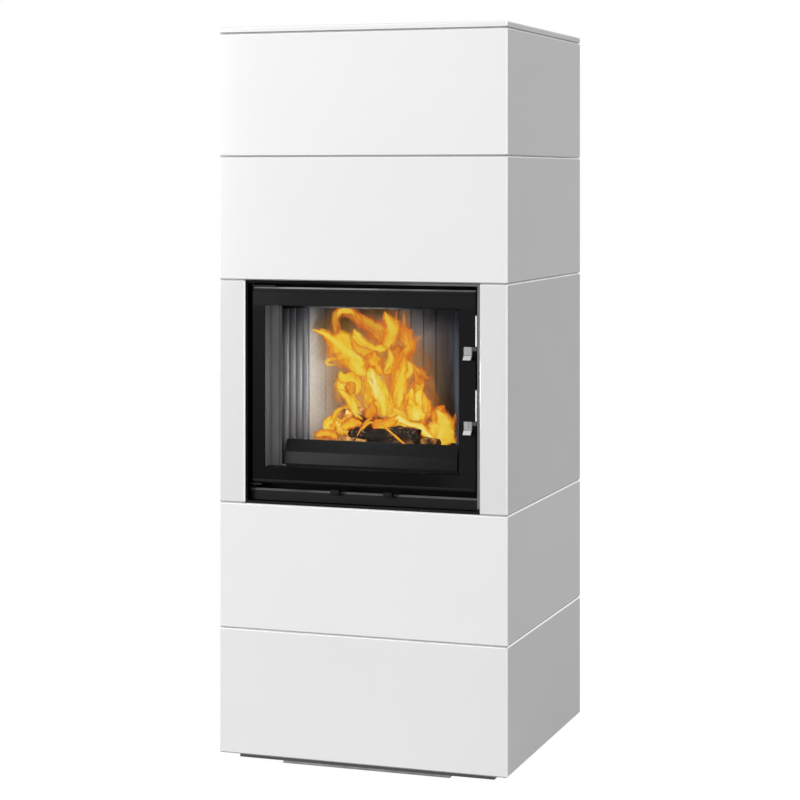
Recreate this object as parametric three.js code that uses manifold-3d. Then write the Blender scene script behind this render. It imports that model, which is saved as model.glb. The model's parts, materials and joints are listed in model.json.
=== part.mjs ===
// A free-standing tiled stove: chamfered ceramic tiles in five rows around a steel fire insert,
// with a glazed door hinged at the left, two latches, two air slides and a heat store above.
// Millimetres, +Z up, front towards -Y. Inside the group y = 0 is the plane of the tile fronts.

import * as THREE from 'three';
import { mergeVertices } from 'three/addons/utils/BufferGeometryUtils.js';
import Module from 'manifold-3d';

const wasm = await Module();
wasm.setup();

// Cladding
const stoveWidth = 654;
const stoveDepth = 606;
const shadowGap = 20;
const lowerRowHeight = 273;
const openingRowHeight = 484;
const upperRowHeight = 268;
const topPlateThickness = 14;
const topPlateChamfer = 2;
const tileThickness = 45;
const tileChamfer = 2.5;
const tileJoint = 0.6;
const frontStileWidth = 61;

// Base
const floorPlateThickness = 6;
const floorPlateSideRecess = 137;
const floorPlateFrontRecess = 34;
const floorPlateBackRecess = 36;
const basePlateFrontRecess = 30;
const basePlateSideRecess = 37;
const basePlateBackRecess = 2;
const standPlateThickness = 8;
const standSpread = 300;
const standBehindTile = 10;

// Rear
const rearPanelThickness = 4;
const rearPanelInset = 4;

// Fire insert shell
const sheet = 5;
const shellRecess = 3;
const shellEndGap = 1;
const shellDepth = 330;
const shellTopDepth = 237;
const storeBelowCladding = 86;

// Door
const doorRecess = 16;
const paneThickness = 4;
const doorRailDepth = 28;
const doorRailHeight = 35.5;
const doorStileWidth = 28;
const hingeSideGap = 5.6;
const latchSideGap = 7.6;
const doorTopGap = 9;
const doorBottomGap = 11.7;
const doorLip = 9;
const doorBevel = 4;
const gasketThickness = 7.4;
const gasketWidth = 10;
const gasketInset = 14;

// Hinges
const hingeInset = 12;
const hingeAxisDepth = 10;
const hingePinRadius = 4;
const hingePinLength = 20;
const hingePlateThickness = 4;
const hingePlateWidth = 20;
const upperHingeReach = 60;
const lowerHingeReach = 27;
const hingeFootWidth = 10;
const lowerHingeFootDrop = 8;

// Door seat
const seatThickness = 5;
const seatSideWidth = 57;
const seatTopHeight = 46;
const seatBottomHeight = 74;

// Latches
const upperLatchBelowDoorTop = 60;
const latchSpacing = 157;
const latchPivotDepth = 20;
const latchPinRadius = 3.5;
const latchPinSink = 13;
const latchPinHeadRadius = 6;
const latchPinHead = 1.6;
const latchSideClearance = 1.4;
const latchThickness = 3;
const latchHeadRadius = 7;
const latchDrop = 67;
const latchTopRise = 8.6;
const latchTopCorner = 2;
const latchStrapWidth = 8;
const latchWebDrop = 22;
const latchArmWidth = 9;
const latchHookReach = 18.3;
const latchHookTip = 3.8;
const latchHookDepth = 8;
const latchHookRise = 5;
const latchUnderLug = 1.5;
const lugWidth = 4.6;
const lugHookGap = 0.4;
const lugLift = 0.5;
const lugHeight = 8.5;
const catchPlateThickness = 2;
const catchPlateBack = 4;
const catchPlateFront = 2.4;
const catchPlateHeight = 16;
const tabWidth = 19;
const tabReach = 24.6;
const tabThickness = 2.5;
const tabStandOff = 3.25;
const tabUpright = 17.5;
const tabFlare = 9.5;
const tabFlareOut = 9;
const linkHeight = 8;
const linkThickness = 5;

// Apron and air slides
const apronHeight = 25;
const apronDepth = 5;
const apronRecess = 19;
const apronBevel = 3.5;
const slideSpread = 120;
const slideLength = 60;
const slideSeatGap = 0.8;
const slidePlateThickness = 3;
const slideBehindApron = 2;
const slideArmThickness = 4;
const slideArmWidth = 12;
const slideNeckDepth = 4;
const knobWidth = 21;
const knobHeight = 12;
const knobDepth = 12;
const knobEdge = 1.5;
const knobApronGap = 2;
const portLength = 52;
const portWidth = 7;
const portBehindTile = 1.5;

// Hearth and linings
const hearthHeight = 68;
const smokeGap = 38.1;
const liningThickness = 26;
const liningGap = 4.7;
const liningFrontInset = 46.6;
const liningSplay = 96;
const chamberDepth = 188;
const sideRibs = 6;
const sideRibHeight = 7;
const sideRibSteps = 6;
const backPanels = 8;
const backGroove = 3;
const backGrooveWidth = 5;
const baffleThickness = 21;
const baffleSetback = 64;
const baffleOverlap = 18;
const guardHeight = 59;
const guardBandHeight = 33;
const guardThickness = 8;
const guardLean = 12;
const guardEndGap = 16;
const guardLipThickness = 6;
const guardSetback = 2;

// Heat store and flue
const storeBehindTile = 15;
const storeSideGap = 5.6;
const storeBlockWidth = 140;
const storeFrontDepth = 80;
const storeCoverThickness = 50;
const flueRadius = 76;
const flueWall = 3;
const flueBelowStoreTop = 80;
const flueReach = 60;
const flueEntry = 10;
const flueFlangeRadius = 92;
const flueFlangeThickness = 4;
const airRadius = 63;
const airWall = 3;
const airHeight = 150;
const airReach = 40;
const airInner = 24;
const airFlangeRadius = 76;
const airFlangeThickness = 4;
const roundSteps = 40;
const pinSteps = 20;

// Clearances
const contact = 0.3;
const shellClearance = 0.4;
const pinClearance = 0.4;
const pipeClearance = 0.6;
const overlapForJoin = 1;

// Levels and planes worked out from the sizes above
const rowHeights = [lowerRowHeight, lowerRowHeight, openingRowHeight, upperRowHeight, upperRowHeight];
const rowLevels = [shadowGap];
for (const rowHeight of rowHeights) {
  rowLevels.push(rowLevels[rowLevels.length - 1] + rowHeight);
}
const openingRow = 2;
const openingBottom = rowLevels[openingRow];
const openingTop = rowLevels[openingRow + 1];
const claddingTop = rowLevels[rowLevels.length - 1];
const halfWidth = stoveWidth / 2;
const openingWidth = stoveWidth - 2 * frontStileWidth;

const shellHalf = openingWidth / 2 - shellClearance;
const shellInner = shellHalf - sheet;
const shellFloorTop = openingBottom + shellEndGap + sheet;
const shellCeiling = openingTop - shellEndGap - sheet;
const shellTop = openingTop - shellEndGap;

const apronTop = shellFloorTop + contact + apronHeight;
const doorLeft = -shellInner + hingeSideGap;
const doorRight = shellInner - latchSideGap;
const doorBottom = apronTop + doorBottomGap;
const doorTop = shellCeiling - doorTopGap;
const railFront = doorRecess + paneThickness + contact;
const railBack = railFront + doorRailDepth;
const gasketFront = railBack + contact;
const seatFront = gasketFront + gasketThickness + contact;
const seatBack = seatFront + seatThickness;

const hingeX = doorLeft + hingeInset;
const hingeY = doorRecess + hingeAxisDepth;

const hearthTop = shellFloorTop + contact + hearthHeight;
const liningFront = seatBack + liningGap;
const liningTop = shellCeiling - smokeGap - baffleThickness - contact;
const chamberBack = liningFront + chamberDepth;
const chamberFrontHalf = shellInner - liningFrontInset;
const chamberBackHalf = chamberFrontHalf - liningSplay;
const shellBackTop = claddingTop - storeBelowCladding;
const flueHeight = shellBackTop - flueBelowStoreTop;
const storeFront = tileThickness + storeBehindTile;
const frontPlaneY = -(stoveDepth + flueReach) / 2;

const stove = new THREE.Group();
const body = new THREE.Group();
body.position.y = frontPlaneY;
stove.add(body);

// Finishes
const finish = (color, roughness, metalness) => ({ color, roughness, metalness });
const glaze = finish(0xf0f0ee, 0.3, 0);
const blackPaint = finish(0x242425, 0.5, 0.3);
const greyPaint = finish(0x77787a, 0.5, 0.3);
const bareSteel = finish(0x9a9b9c, 0.4, 0.9);
const chromeSteel = finish(0xc8c9ca, 0.2, 1);
const blackKnob = finish(0x101010, 0.4, 0.1);
const castIron = finish(0x303032, 0.6, 0.7);
const ribbedIron = finish(0x8a868a, 0.5, 0.7);
const firebrick = finish(0xc3b7a6, 0.9, 0);
const storeStone = finish(0x9c8f80, 0.9, 0);
const ceramicGlass = finish(0x1a1a1c, 0.05, 0);
const ropeGasket = finish(0x4a4a48, 1, 0);

function addPiece(name, geometry, look) {
  const mesh = new THREE.Mesh(geometry, new THREE.MeshStandardMaterial(look));
  mesh.name = name;
  body.add(mesh);
  return mesh;
}

function boxBetween(low, high) {
  const size = high.map((value, axis) => value - low[axis]);
  const geometry = new THREE.BoxGeometry(size[0], size[1], size[2]);
  geometry.translate(low[0] + size[0] / 2, low[1] + size[1] / 2, low[2] + size[2] / 2);
  return geometry;
}

function shapeOf(points) {
  return new THREE.Shape(points.map(([u, v]) => new THREE.Vector2(u, v)));
}

// Points round an arc, without its end point.
function arcPoints(x, y, radius, from, to, steps) {
  const points = [];
  for (let i = 0; i < steps; i += 1) {
    const angle = from + ((to - from) * i) / steps;
    points.push([x + radius * Math.cos(angle), y + radius * Math.sin(angle)]);
  }
  return points;
}

// A plan outline (x, y) pulled up from one level to another.
function prism(shape, low, high) {
  const geometry = new THREE.ExtrudeGeometry(shape, { depth: high - low, bevelEnabled: false });
  geometry.translate(0, 0, low);
  return geometry;
}

// A side profile (y, z) pulled along x.
function barAlongX(shape, left, right) {
  const geometry = new THREE.ExtrudeGeometry(shape, { depth: right - left, bevelEnabled: false });
  const turn = new THREE.Matrix4().makeBasis(
    new THREE.Vector3(0, 1, 0),
    new THREE.Vector3(0, 0, 1),
    new THREE.Vector3(1, 0, 0),
  );
  geometry.applyMatrix4(turn);
  geometry.translate(left, 0, 0);
  return geometry;
}

// A front elevation (x, z) pulled along y.
function panelAlongY(shape, front, back) {
  const geometry = new THREE.ExtrudeGeometry(shape, { depth: back - front, bevelEnabled: false });
  geometry.rotateX(Math.PI / 2);
  geometry.translate(0, back, 0);
  return geometry;
}

// Outlines with the same number of points, counter-clockwise from above, joined level by level.
function stackOutlines(levels) {
  const count = levels[0].outline.length;
  const positions = [];
  const faces = [];
  for (const level of levels) {
    for (const [x, y] of level.outline) {
      positions.push(x, y, level.z);
    }
  }
  for (let layer = 0; layer + 1 < levels.length; layer += 1) {
    for (let i = 0; i < count; i += 1) {
      const next = (i + 1) % count;
      const low = layer * count;
      const high = low + count;
      faces.push(low + i, low + next, high + next);
      faces.push(low + i, high + next, high + i);
    }
  }
  const topStart = (levels.length - 1) * count;
  const flat = (level) => level.outline.map(([x, y]) => new THREE.Vector2(x, y));
  for (const [a, b, c] of THREE.ShapeUtils.triangulateShape(flat(levels[0]), [])) {
    faces.push(a, c, b);
  }
  for (const [a, b, c] of THREE.ShapeUtils.triangulateShape(flat(levels[levels.length - 1]), [])) {
    faces.push(topStart + a, topStart + b, topStart + c);
  }
  const geometry = new THREE.BufferGeometry();
  geometry.setAttribute('position', new THREE.Float32BufferAttribute(positions, 3));
  geometry.setIndex(faces);
  return geometry;
}

function toSolid(geometry) {
  const bare = geometry.clone();
  bare.deleteAttribute('normal');
  bare.deleteAttribute('uv');
  const welded = mergeVertices(bare);
  const mesh = new wasm.Mesh({
    numProp: 3,
    vertProperties: new Float32Array(welded.attributes.position.array),
    triVerts: new Uint32Array(welded.index.array),
  });
  return new wasm.Manifold(mesh);
}

function toGeometry(solid) {
  const mesh = solid.getMesh();
  const geometry = new THREE.BufferGeometry();
  geometry.setAttribute('position', new THREE.Float32BufferAttribute(mesh.vertProperties, 3));
  geometry.setIndex(Array.from(mesh.triVerts));
  return geometry;
}

function joined(...geometries) {
  return toGeometry(geometries.map(toSolid).reduce((sum, solid) => sum.add(solid)));
}

function cut(geometry, ...tools) {
  return toGeometry(tools.map(toSolid).reduce((rest, tool) => rest.subtract(tool), toSolid(geometry)));
}

function rod(radius, low, high, axis) {
  const length = high[axis] - low[axis];
  const geometry = new THREE.CylinderGeometry(radius, radius, length, pinSteps);
  if (axis === 0) {
    geometry.rotateZ(Math.PI / 2);
  }
  if (axis === 2) {
    geometry.rotateX(Math.PI / 2);
  }
  geometry.translate((low[0] + high[0]) / 2, (low[1] + high[1]) / 2, (low[2] + high[2]) / 2);
  return geometry;
}

function bevelledPlate(widthAcross, heightUp, depthBack, edge) {
  const halfAcross = widthAcross / 2 - edge;
  const halfUp = heightUp / 2 - edge;
  const face = shapeOf([
    [-halfAcross, -halfUp],
    [halfAcross, -halfUp],
    [halfAcross, halfUp],
    [-halfAcross, halfUp],
  ]);
  const geometry = new THREE.ExtrudeGeometry(face, {
    depth: depthBack - 2 * edge,
    bevelThickness: edge,
    bevelSize: edge,
    bevelSegments: 2,
  });
  geometry.translate(0, 0, -(depthBack / 2 - edge));
  geometry.rotateX(Math.PI / 2);
  return geometry;
}

function mirrorOutline(outline) {
  return outline.map(([x, y]) => [-x, y]).reverse();
}

// ---- tiles: the outer faces step in by the chamfer at the top and bottom edges

const mitreGap = tileJoint / Math.SQRT2;

function cornerOfFrontTile(inset) {
  const chamferLine = tileChamfer + inset * Math.SQRT2;
  return {
    face: [halfWidth - chamferLine + inset, inset],
    mitre: [halfWidth - (mitreGap + chamferLine) / 2, (chamferLine - mitreGap) / 2],
  };
}

function frontTileOutline(inset) {
  const corner = cornerOfFrontTile(inset);
  const innerX = halfWidth - tileThickness - mitreGap;
  const right = [corner.face, corner.mitre, [innerX, tileThickness]];
  return [...right, ...mirrorOutline(right)];
}

function stileOutline(inset) {
  const corner = cornerOfFrontTile(inset);
  const edge = openingWidth / 2;
  const chamferLine = tileChamfer + inset * Math.SQRT2;
  return [
    [edge, tileThickness],
    [edge, chamferLine],
    [edge + chamferLine - inset, inset],
    corner.face,
    corner.mitre,
    [halfWidth - tileThickness - mitreGap, tileThickness],
  ];
}

function sideTileOutline(inset) {
  const chamferLine = tileChamfer + inset * Math.SQRT2;
  return [
    [halfWidth - tileThickness, tileThickness + mitreGap],
    [halfWidth - (chamferLine - mitreGap) / 2, (mitreGap + chamferLine) / 2],
    [halfWidth - inset, chamferLine - inset],
    [halfWidth - inset, stoveDepth - chamferLine + inset],
    [halfWidth - chamferLine, stoveDepth],
    [halfWidth - tileThickness, stoveDepth],
  ];
}

function chamferedTile(outlineAt, low, high) {
  const bottom = low + tileJoint / 2;
  const top = high - tileJoint / 2;
  return stackOutlines([
    { z: bottom, outline: outlineAt(tileChamfer) },
    { z: bottom + tileChamfer, outline: outlineAt(0) },
    { z: top - tileChamfer, outline: outlineAt(0) },
    { z: top, outline: outlineAt(tileChamfer) },
  ]);
}

function addCladding() {
  for (let row = 0; row < rowHeights.length; row += 1) {
    const low = rowLevels[row];
    const high = rowLevels[row + 1];
    const label = row + 1;
    const leftSide = (inset) => mirrorOutline(sideTileOutline(inset));
    addPiece(`tile_right_${label}`, chamferedTile(sideTileOutline, low, high), glaze);
    addPiece(`tile_left_${label}`, chamferedTile(leftSide, low, high), glaze);
    if (row === openingRow) {
      const leftStile = (inset) => mirrorOutline(stileOutline(inset));
      addPiece('tile_stile_right', chamferedTile(stileOutline, low, high), glaze);
      addPiece('tile_stile_left', chamferedTile(leftStile, low, high), glaze);
    } else {
      addPiece(`tile_front_${label}`, chamferedTile(frontTileOutline, low, high), glaze);
    }
  }
}

function topPlateOutline(inset) {
  const side = halfWidth - inset;
  const cornerCut = topPlateChamfer;
  return [
    [side - cornerCut, inset],
    [side, inset + cornerCut],
    [side, stoveDepth - inset - cornerCut],
    [side - cornerCut, stoveDepth - inset],
    [-side + cornerCut, stoveDepth - inset],
    [-side, stoveDepth - inset - cornerCut],
    [-side, inset + cornerCut],
    [-side + cornerCut, inset],
  ];
}

function addTopPlate() {
  const low = claddingTop + contact;
  const high = claddingTop + topPlateThickness;
  const levels = [
    { z: low, outline: topPlateOutline(topPlateChamfer) },
    { z: low + topPlateChamfer, outline: topPlateOutline(0) },
    { z: high - topPlateChamfer, outline: topPlateOutline(0) },
    { z: high, outline: topPlateOutline(topPlateChamfer) },
  ];
  addPiece('top_plate', stackOutlines(levels), glaze);
}

// ---- base, stand and rear panel

function addBase() {
  const floorHalf = halfWidth - floorPlateSideRecess;
  addPiece('floor_plate', boxBetween(
    [-floorHalf, floorPlateFrontRecess, 0],
    [floorHalf, stoveDepth - floorPlateBackRecess, floorPlateThickness],
  ), greyPaint);
  const baseHalf = halfWidth - basePlateSideRecess;
  addPiece('base_plate', boxBetween(
    [-baseHalf, basePlateFrontRecess, floorPlateThickness + contact],
    [baseHalf, stoveDepth - basePlateBackRecess, shadowGap],
  ), blackPaint);
  const standInner = standSpread / 2;
  for (const side of [-1, 1]) {
    const ends = [side * standInner, side * (standInner + standPlateThickness)].sort((a, b) => a - b);
    addPiece(side < 0 ? 'stand_left' : 'stand_right', boxBetween(
      [ends[0], tileThickness + standBehindTile, shadowGap + contact],
      [ends[1], shellRecess + shellDepth, openingBottom + shellEndGap - contact],
    ), blackPaint);
  }
}

const rearPanelBack = stoveDepth - rearPanelInset;
const rearPanelFront = rearPanelBack - rearPanelThickness;

function roundHole(shape, x, y, radius) {
  shape.holes.push(shapeOf(arcPoints(x, y, radius, 0, 2 * Math.PI, roundSteps)));
}

function addRearPanel() {
  const side = halfWidth - tileThickness - shellClearance;
  const low = shadowGap + contact;
  const high = claddingTop;
  const face = shapeOf([[-side, low], [side, low], [side, high], [-side, high]]);
  roundHole(face, 0, flueHeight, flueRadius + pipeClearance);
  roundHole(face, 0, airHeight, airRadius + pipeClearance);
  addPiece('rear_panel', panelAlongY(face, rearPanelFront, rearPanelBack), blackPaint);
}

// A pipe socket along y with one flange, centred on x = 0 at the given height.
function pipeSocket(radius, wall, front, back, flangeRadius, flangeFront, flangeBack, height) {
  const inner = radius - wall;
  const profile = [
    [inner, front],
    [radius, front],
    [radius, flangeFront],
    [flangeRadius, flangeFront],
    [flangeRadius, flangeBack],
    [radius, flangeBack],
    [radius, back],
    [inner, back],
    [inner, front],
  ];
  const geometry = new THREE.LatheGeometry(profile.map(([r, y]) => new THREE.Vector2(r, y)), roundSteps);
  geometry.translate(0, 0, height);
  return geometry;
}

function addSockets() {
  const flueFlangeFront = rearPanelBack + contact;
  addPiece('flue_pipe', pipeSocket(
    flueRadius, flueWall, shellBackFront - flueEntry, stoveDepth + flueReach,
    flueFlangeRadius, flueFlangeFront, flueFlangeFront + flueFlangeThickness, flueHeight,
  ), blackPaint);
  const airFlangeBack = rearPanelFront - contact;
  addPiece('air_inlet_pipe', pipeSocket(
    airRadius, airWall, rearPanelFront - airInner, stoveDepth + airReach,
    airFlangeRadius, airFlangeBack - airFlangeThickness, airFlangeBack, airHeight,
  ), bareSteel);
}

// ---- steel shell of the fire insert

const shellBackFront = shellRecess + shellDepth;
const slideFront = apronRecess + apronDepth + slideBehindApron;

function addShell() {
  const floorLow = shellFloorTop - sheet;
  const portFront = tileThickness + portBehindTile;
  const ports = [-1, 1].map((side) => {
    const middle = (side * slideSpread) / 2;
    return boxBetween(
      [middle - portLength / 2, portFront, floorLow - overlapForJoin],
      [middle + portLength / 2, portFront + portWidth, shellFloorTop + overlapForJoin],
    );
  });
  const floor = boxBetween(
    [-shellHalf, shellRecess, floorLow],
    [shellHalf, shellBackFront + sheet, shellFloorTop],
  );
  addPiece('insert_floor', cut(floor, ...ports), blackPaint);

  const sideLow = shellFloorTop + contact;
  const sideHigh = shellCeiling - contact;
  addPiece('insert_side_left', boxBetween(
    [-shellHalf, shellRecess, sideLow],
    [-shellInner, shellBackFront - contact, sideHigh],
  ), greyPaint);
  addPiece('insert_side_right', boxBetween(
    [shellInner, shellRecess, sideLow],
    [shellHalf, shellBackFront - contact, sideHigh],
  ), greyPaint);
  addPiece('insert_top', boxBetween(
    [-shellHalf, shellRecess, shellCeiling],
    [shellHalf, shellRecess + shellTopDepth, shellTop],
  ), greyPaint);

  const back = shapeOf([
    [-shellHalf, sideLow],
    [shellHalf, sideLow],
    [shellHalf, shellBackTop],
    [-shellHalf, shellBackTop],
  ]);
  roundHole(back, 0, flueHeight, flueRadius + pipeClearance);
  addPiece('insert_back', panelAlongY(back, shellBackFront, shellBackFront + sheet), blackPaint);
}

function addSeat() {
  const low = shellFloorTop + contact;
  const high = shellCeiling - contact;
  const outer = shellInner - contact;
  const inner = outer - seatSideWidth;
  addPiece('door_seat_left', boxBetween([-outer, seatFront, low], [-inner, seatBack, high]), blackPaint);
  addPiece('door_seat_right', boxBetween([inner, seatFront, low], [outer, seatBack, high]), blackPaint);
  const between = inner - contact;
  addPiece('door_seat_top', boxBetween(
    [-between, seatFront, high - seatTopHeight],
    [between, seatBack, high],
  ), blackPaint);
  addPiece('door_seat_bottom', boxBetween(
    [-between, seatFront, low],
    [between, seatBack, low + seatBottomHeight],
  ), blackPaint);
}

// ---- apron and air slides

function addApron() {
  const front = apronRecess;
  const back = apronRecess + apronDepth;
  const low = shellFloorTop + contact;
  const profile = shapeOf([
    [front, low],
    [back, low],
    [back, apronTop],
    [front + apronBevel, apronTop],
    [front, apronTop - apronBevel],
  ]);
  const end = shellInner - contact;
  addPiece('apron', barAlongX(profile, -end, end), blackPaint);
}

function airSlide(middle) {
  const plateLow = shellFloorTop + contact;
  const armLow = apronTop + 2 * contact;
  const armHigh = armLow + slideArmThickness;
  const knobBack = apronRecess - knobApronGap;
  const plate = boxBetween(
    [middle - slideLength / 2, slideFront, plateLow],
    [middle + slideLength / 2, seatFront - slideSeatGap, plateLow + slidePlateThickness],
  );
  const neck = boxBetween(
    [middle - slideArmWidth / 2, slideFront, plateLow],
    [middle + slideArmWidth / 2, slideFront + slideNeckDepth, armHigh],
  );
  const arm = boxBetween(
    [middle - slideArmWidth / 2, knobBack - overlapForJoin, armLow],
    [middle + slideArmWidth / 2, slideFront + slideNeckDepth, armHigh],
  );
  const knob = bevelledPlate(knobWidth, knobHeight, knobDepth, knobEdge);
  knob.translate(middle, knobBack - knobDepth / 2, armHigh - knobHeight / 2 + knobEdge);
  return joined(plate, neck, arm, knob);
}

function addAirSlides() {
  addPiece('primary_air_slide', airSlide(-slideSpread / 2), blackKnob);
  addPiece('secondary_air_slide', airSlide(slideSpread / 2), blackKnob);
}

// ---- hearth, linings, baffle and log guard

// Points from start to end with half-round ribs standing out to the right of the way.
function ribbedLine(start, end, ribs, height, steps) {
  const along = [end[0] - start[0], end[1] - start[1]];
  const length = Math.hypot(along[0], along[1]);
  const out = [along[1] / length, -along[0] / length];
  const points = [];
  for (let i = 0; i <= ribs * steps; i += 1) {
    const share = i / (ribs * steps);
    const phase = ((i % steps) / steps) * Math.PI;
    const rise = height * Math.sin(phase);
    points.push([
      start[0] + along[0] * share + out[0] * rise,
      start[1] + along[1] * share + out[1] * rise,
    ]);
  }
  return points;
}

function leftLiningOutline() {
  const frontInner = [-chamberFrontHalf, liningFront];
  const backInner = [-chamberBackHalf, chamberBack - contact];
  const slope = (backInner[0] - frontInner[0]) / (backInner[1] - frontInner[1]);
  const across = liningThickness * Math.hypot(1, slope);
  const ribs = ribbedLine(frontInner, backInner, sideRibs, sideRibHeight, sideRibSteps);
  return [...ribs, [backInner[0] - across, backInner[1]], [frontInner[0] - across, frontInner[1]]];
}

function backLiningOutline() {
  const slope = liningSplay / chamberDepth;
  const half = chamberBackHalf + liningThickness * Math.hypot(1, slope);
  const points = [[-half, chamberBack], [-chamberBackHalf, chamberBack]];
  const pitch = (2 * chamberBackHalf) / backPanels;
  for (let groove = 1; groove < backPanels; groove += 1) {
    const x = -chamberBackHalf + groove * pitch;
    points.push([x - backGrooveWidth / 2, chamberBack]);
    points.push([x, chamberBack + backGroove]);
    points.push([x + backGrooveWidth / 2, chamberBack]);
  }
  points.push([chamberBackHalf, chamberBack], [half, chamberBack]);
  points.push([half, chamberBack + liningThickness], [-half, chamberBack + liningThickness]);
  return points;
}

function addChamber() {
  const hearthSide = shellInner - contact;
  addPiece('hearth_slab', boxBetween(
    [-hearthSide, seatBack + contact, shellFloorTop + contact],
    [hearthSide, shellBackFront - contact, hearthTop],
  ), firebrick);

  const low = hearthTop + contact;
  const left = leftLiningOutline();
  addPiece('lining_left', prism(shapeOf(left), low, liningTop), ribbedIron);
  addPiece('lining_right', prism(shapeOf(mirrorOutline(left)), low, liningTop), ribbedIron);
  addPiece('lining_back', prism(shapeOf(backLiningOutline()), low, liningTop), firebrick);

  const baffleFront = liningFront + baffleSetback;
  const baffleBack = chamberBack + liningThickness;
  const baffleFrontHalf = chamberFrontHalf - liningSplay * (baffleSetback / chamberDepth) + baffleOverlap;
  const baffleBackHalf = chamberBackHalf + baffleOverlap;
  addPiece('baffle', prism(shapeOf([
    [-baffleFrontHalf, baffleFront],
    [baffleFrontHalf, baffleFront],
    [baffleBackHalf, baffleBack],
    [-baffleBackHalf, baffleBack],
  ]), liningTop + contact, liningTop + contact + baffleThickness), firebrick);

  const front = seatBack + guardSetback;
  const guard = shapeOf([
    [front, low],
    [front + guardThickness, low],
    [front + guardThickness, low + guardBandHeight],
    [front + guardThickness + guardLean, low + guardHeight],
    [front + guardThickness + guardLean - guardLipThickness, low + guardHeight],
    [front, low + guardBandHeight],
  ]);
  const guardEnd = chamberFrontHalf - guardEndGap;
  addPiece('log_guard', barAlongX(guard, -guardEnd, guardEnd), castIron);
}

// ---- heat store over the insert

function addHeatStore() {
  const low = shellTop + contact;
  const high = shellBackTop;
  const back = shellBackFront - contact;
  const outer = shellHalf - storeSideGap;
  const channel = outer - storeBlockWidth;
  addPiece('heat_block_left', boxBetween([-outer, storeFront, low], [-channel, back, high]), storeStone);
  addPiece('heat_block_right', boxBetween([channel, storeFront, low], [outer, back, high]), storeStone);
  addPiece('heat_block_front', boxBetween(
    [-channel + contact, storeFront, low],
    [channel - contact, storeFront + storeFrontDepth, high],
  ), storeStone);
  addPiece('heat_store_cover', boxBetween(
    [-outer, storeFront, high + contact],
    [outer, shellBackFront + sheet, high + contact + storeCoverThickness],
  ), storeStone);
}

// ---- door

function latchPivotHeight(index) {
  return doorTop - upperLatchBelowDoorTop - index * latchSpacing;
}

const latchPivotY = doorRecess + latchPivotDepth;

function hingeBore(low, high) {
  return rod(hingePinRadius + pinClearance, [hingeX, hingeY, low], [hingeX, hingeY, high], 2);
}

function addDoorFrame() {
  const lipFace = doorRecess;
  const topRail = shapeOf([
    [railFront, doorTop - doorRailHeight],
    [railBack, doorTop - doorRailHeight],
    [railBack, doorTop],
    [lipFace + doorBevel, doorTop],
    [lipFace, doorTop - doorBevel],
    [lipFace, doorTop - doorLip],
    [railFront, doorTop - doorLip],
  ]);
  const bottomRail = shapeOf([
    [lipFace + doorBevel, doorBottom],
    [railBack, doorBottom],
    [railBack, doorBottom + doorRailHeight],
    [railFront, doorBottom + doorRailHeight],
    [railFront, doorBottom + doorLip],
    [lipFace, doorBottom + doorLip],
    [lipFace, doorBottom + doorBevel],
  ]);
  const boreDepth = hingePinLength + overlapForJoin;
  addPiece('door_rail_top', cut(
    barAlongX(topRail, doorLeft, doorRight),
    hingeBore(doorTop - boreDepth, doorTop + overlapForJoin),
  ), blackPaint);
  addPiece('door_rail_bottom', cut(
    barAlongX(bottomRail, doorLeft, doorRight),
    hingeBore(doorBottom - overlapForJoin, doorBottom + boreDepth),
  ), blackPaint);

  const low = doorBottom + doorRailHeight + contact;
  const high = doorTop - doorRailHeight - contact;
  addPiece('door_stile_left', boxBetween(
    [doorLeft, railFront, low],
    [doorLeft + doorStileWidth, railBack, high],
  ), blackPaint);
  const plain = boxBetween([doorRight - doorStileWidth, railFront, low], [doorRight, railBack, high]);
  const sockets = [0, 1].map((index) => {
    const z = latchPivotHeight(index);
    const deep = doorRight - latchPinSink - contact;
    return rod(latchPinRadius + pinClearance, [deep, latchPivotY, z],
      [doorRight + overlapForJoin, latchPivotY, z], 0);
  });
  addPiece('door_stile_right', cut(plain, ...sockets), blackPaint);
}

function addPane() {
  addPiece('door_glass', boxBetween(
    [doorLeft, doorRecess, doorBottom + doorLip + contact],
    [doorRight, doorRecess + paneThickness, doorTop - doorLip - contact],
  ), ceramicGlass);
}

function addGasket() {
  const outerLeft = doorLeft + gasketInset;
  const outerRight = doorRight - gasketInset;
  const outerLow = doorBottom + gasketInset;
  const outerHigh = doorTop - gasketInset;
  const ring = shapeOf([
    [outerLeft, outerLow],
    [outerRight, outerLow],
    [outerRight, outerHigh],
    [outerLeft, outerHigh],
  ]);
  ring.holes.push(shapeOf([
    [outerLeft + gasketWidth, outerLow + gasketWidth],
    [outerRight - gasketWidth, outerLow + gasketWidth],
    [outerRight - gasketWidth, outerHigh - gasketWidth],
    [outerLeft + gasketWidth, outerHigh - gasketWidth],
  ]));
  addPiece('door_gasket', panelAlongY(ring, gasketFront, gasketFront + gasketThickness), ropeGasket);
}

// ---- hinges: a plate from the insert's left side, with a pin into the door

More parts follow.
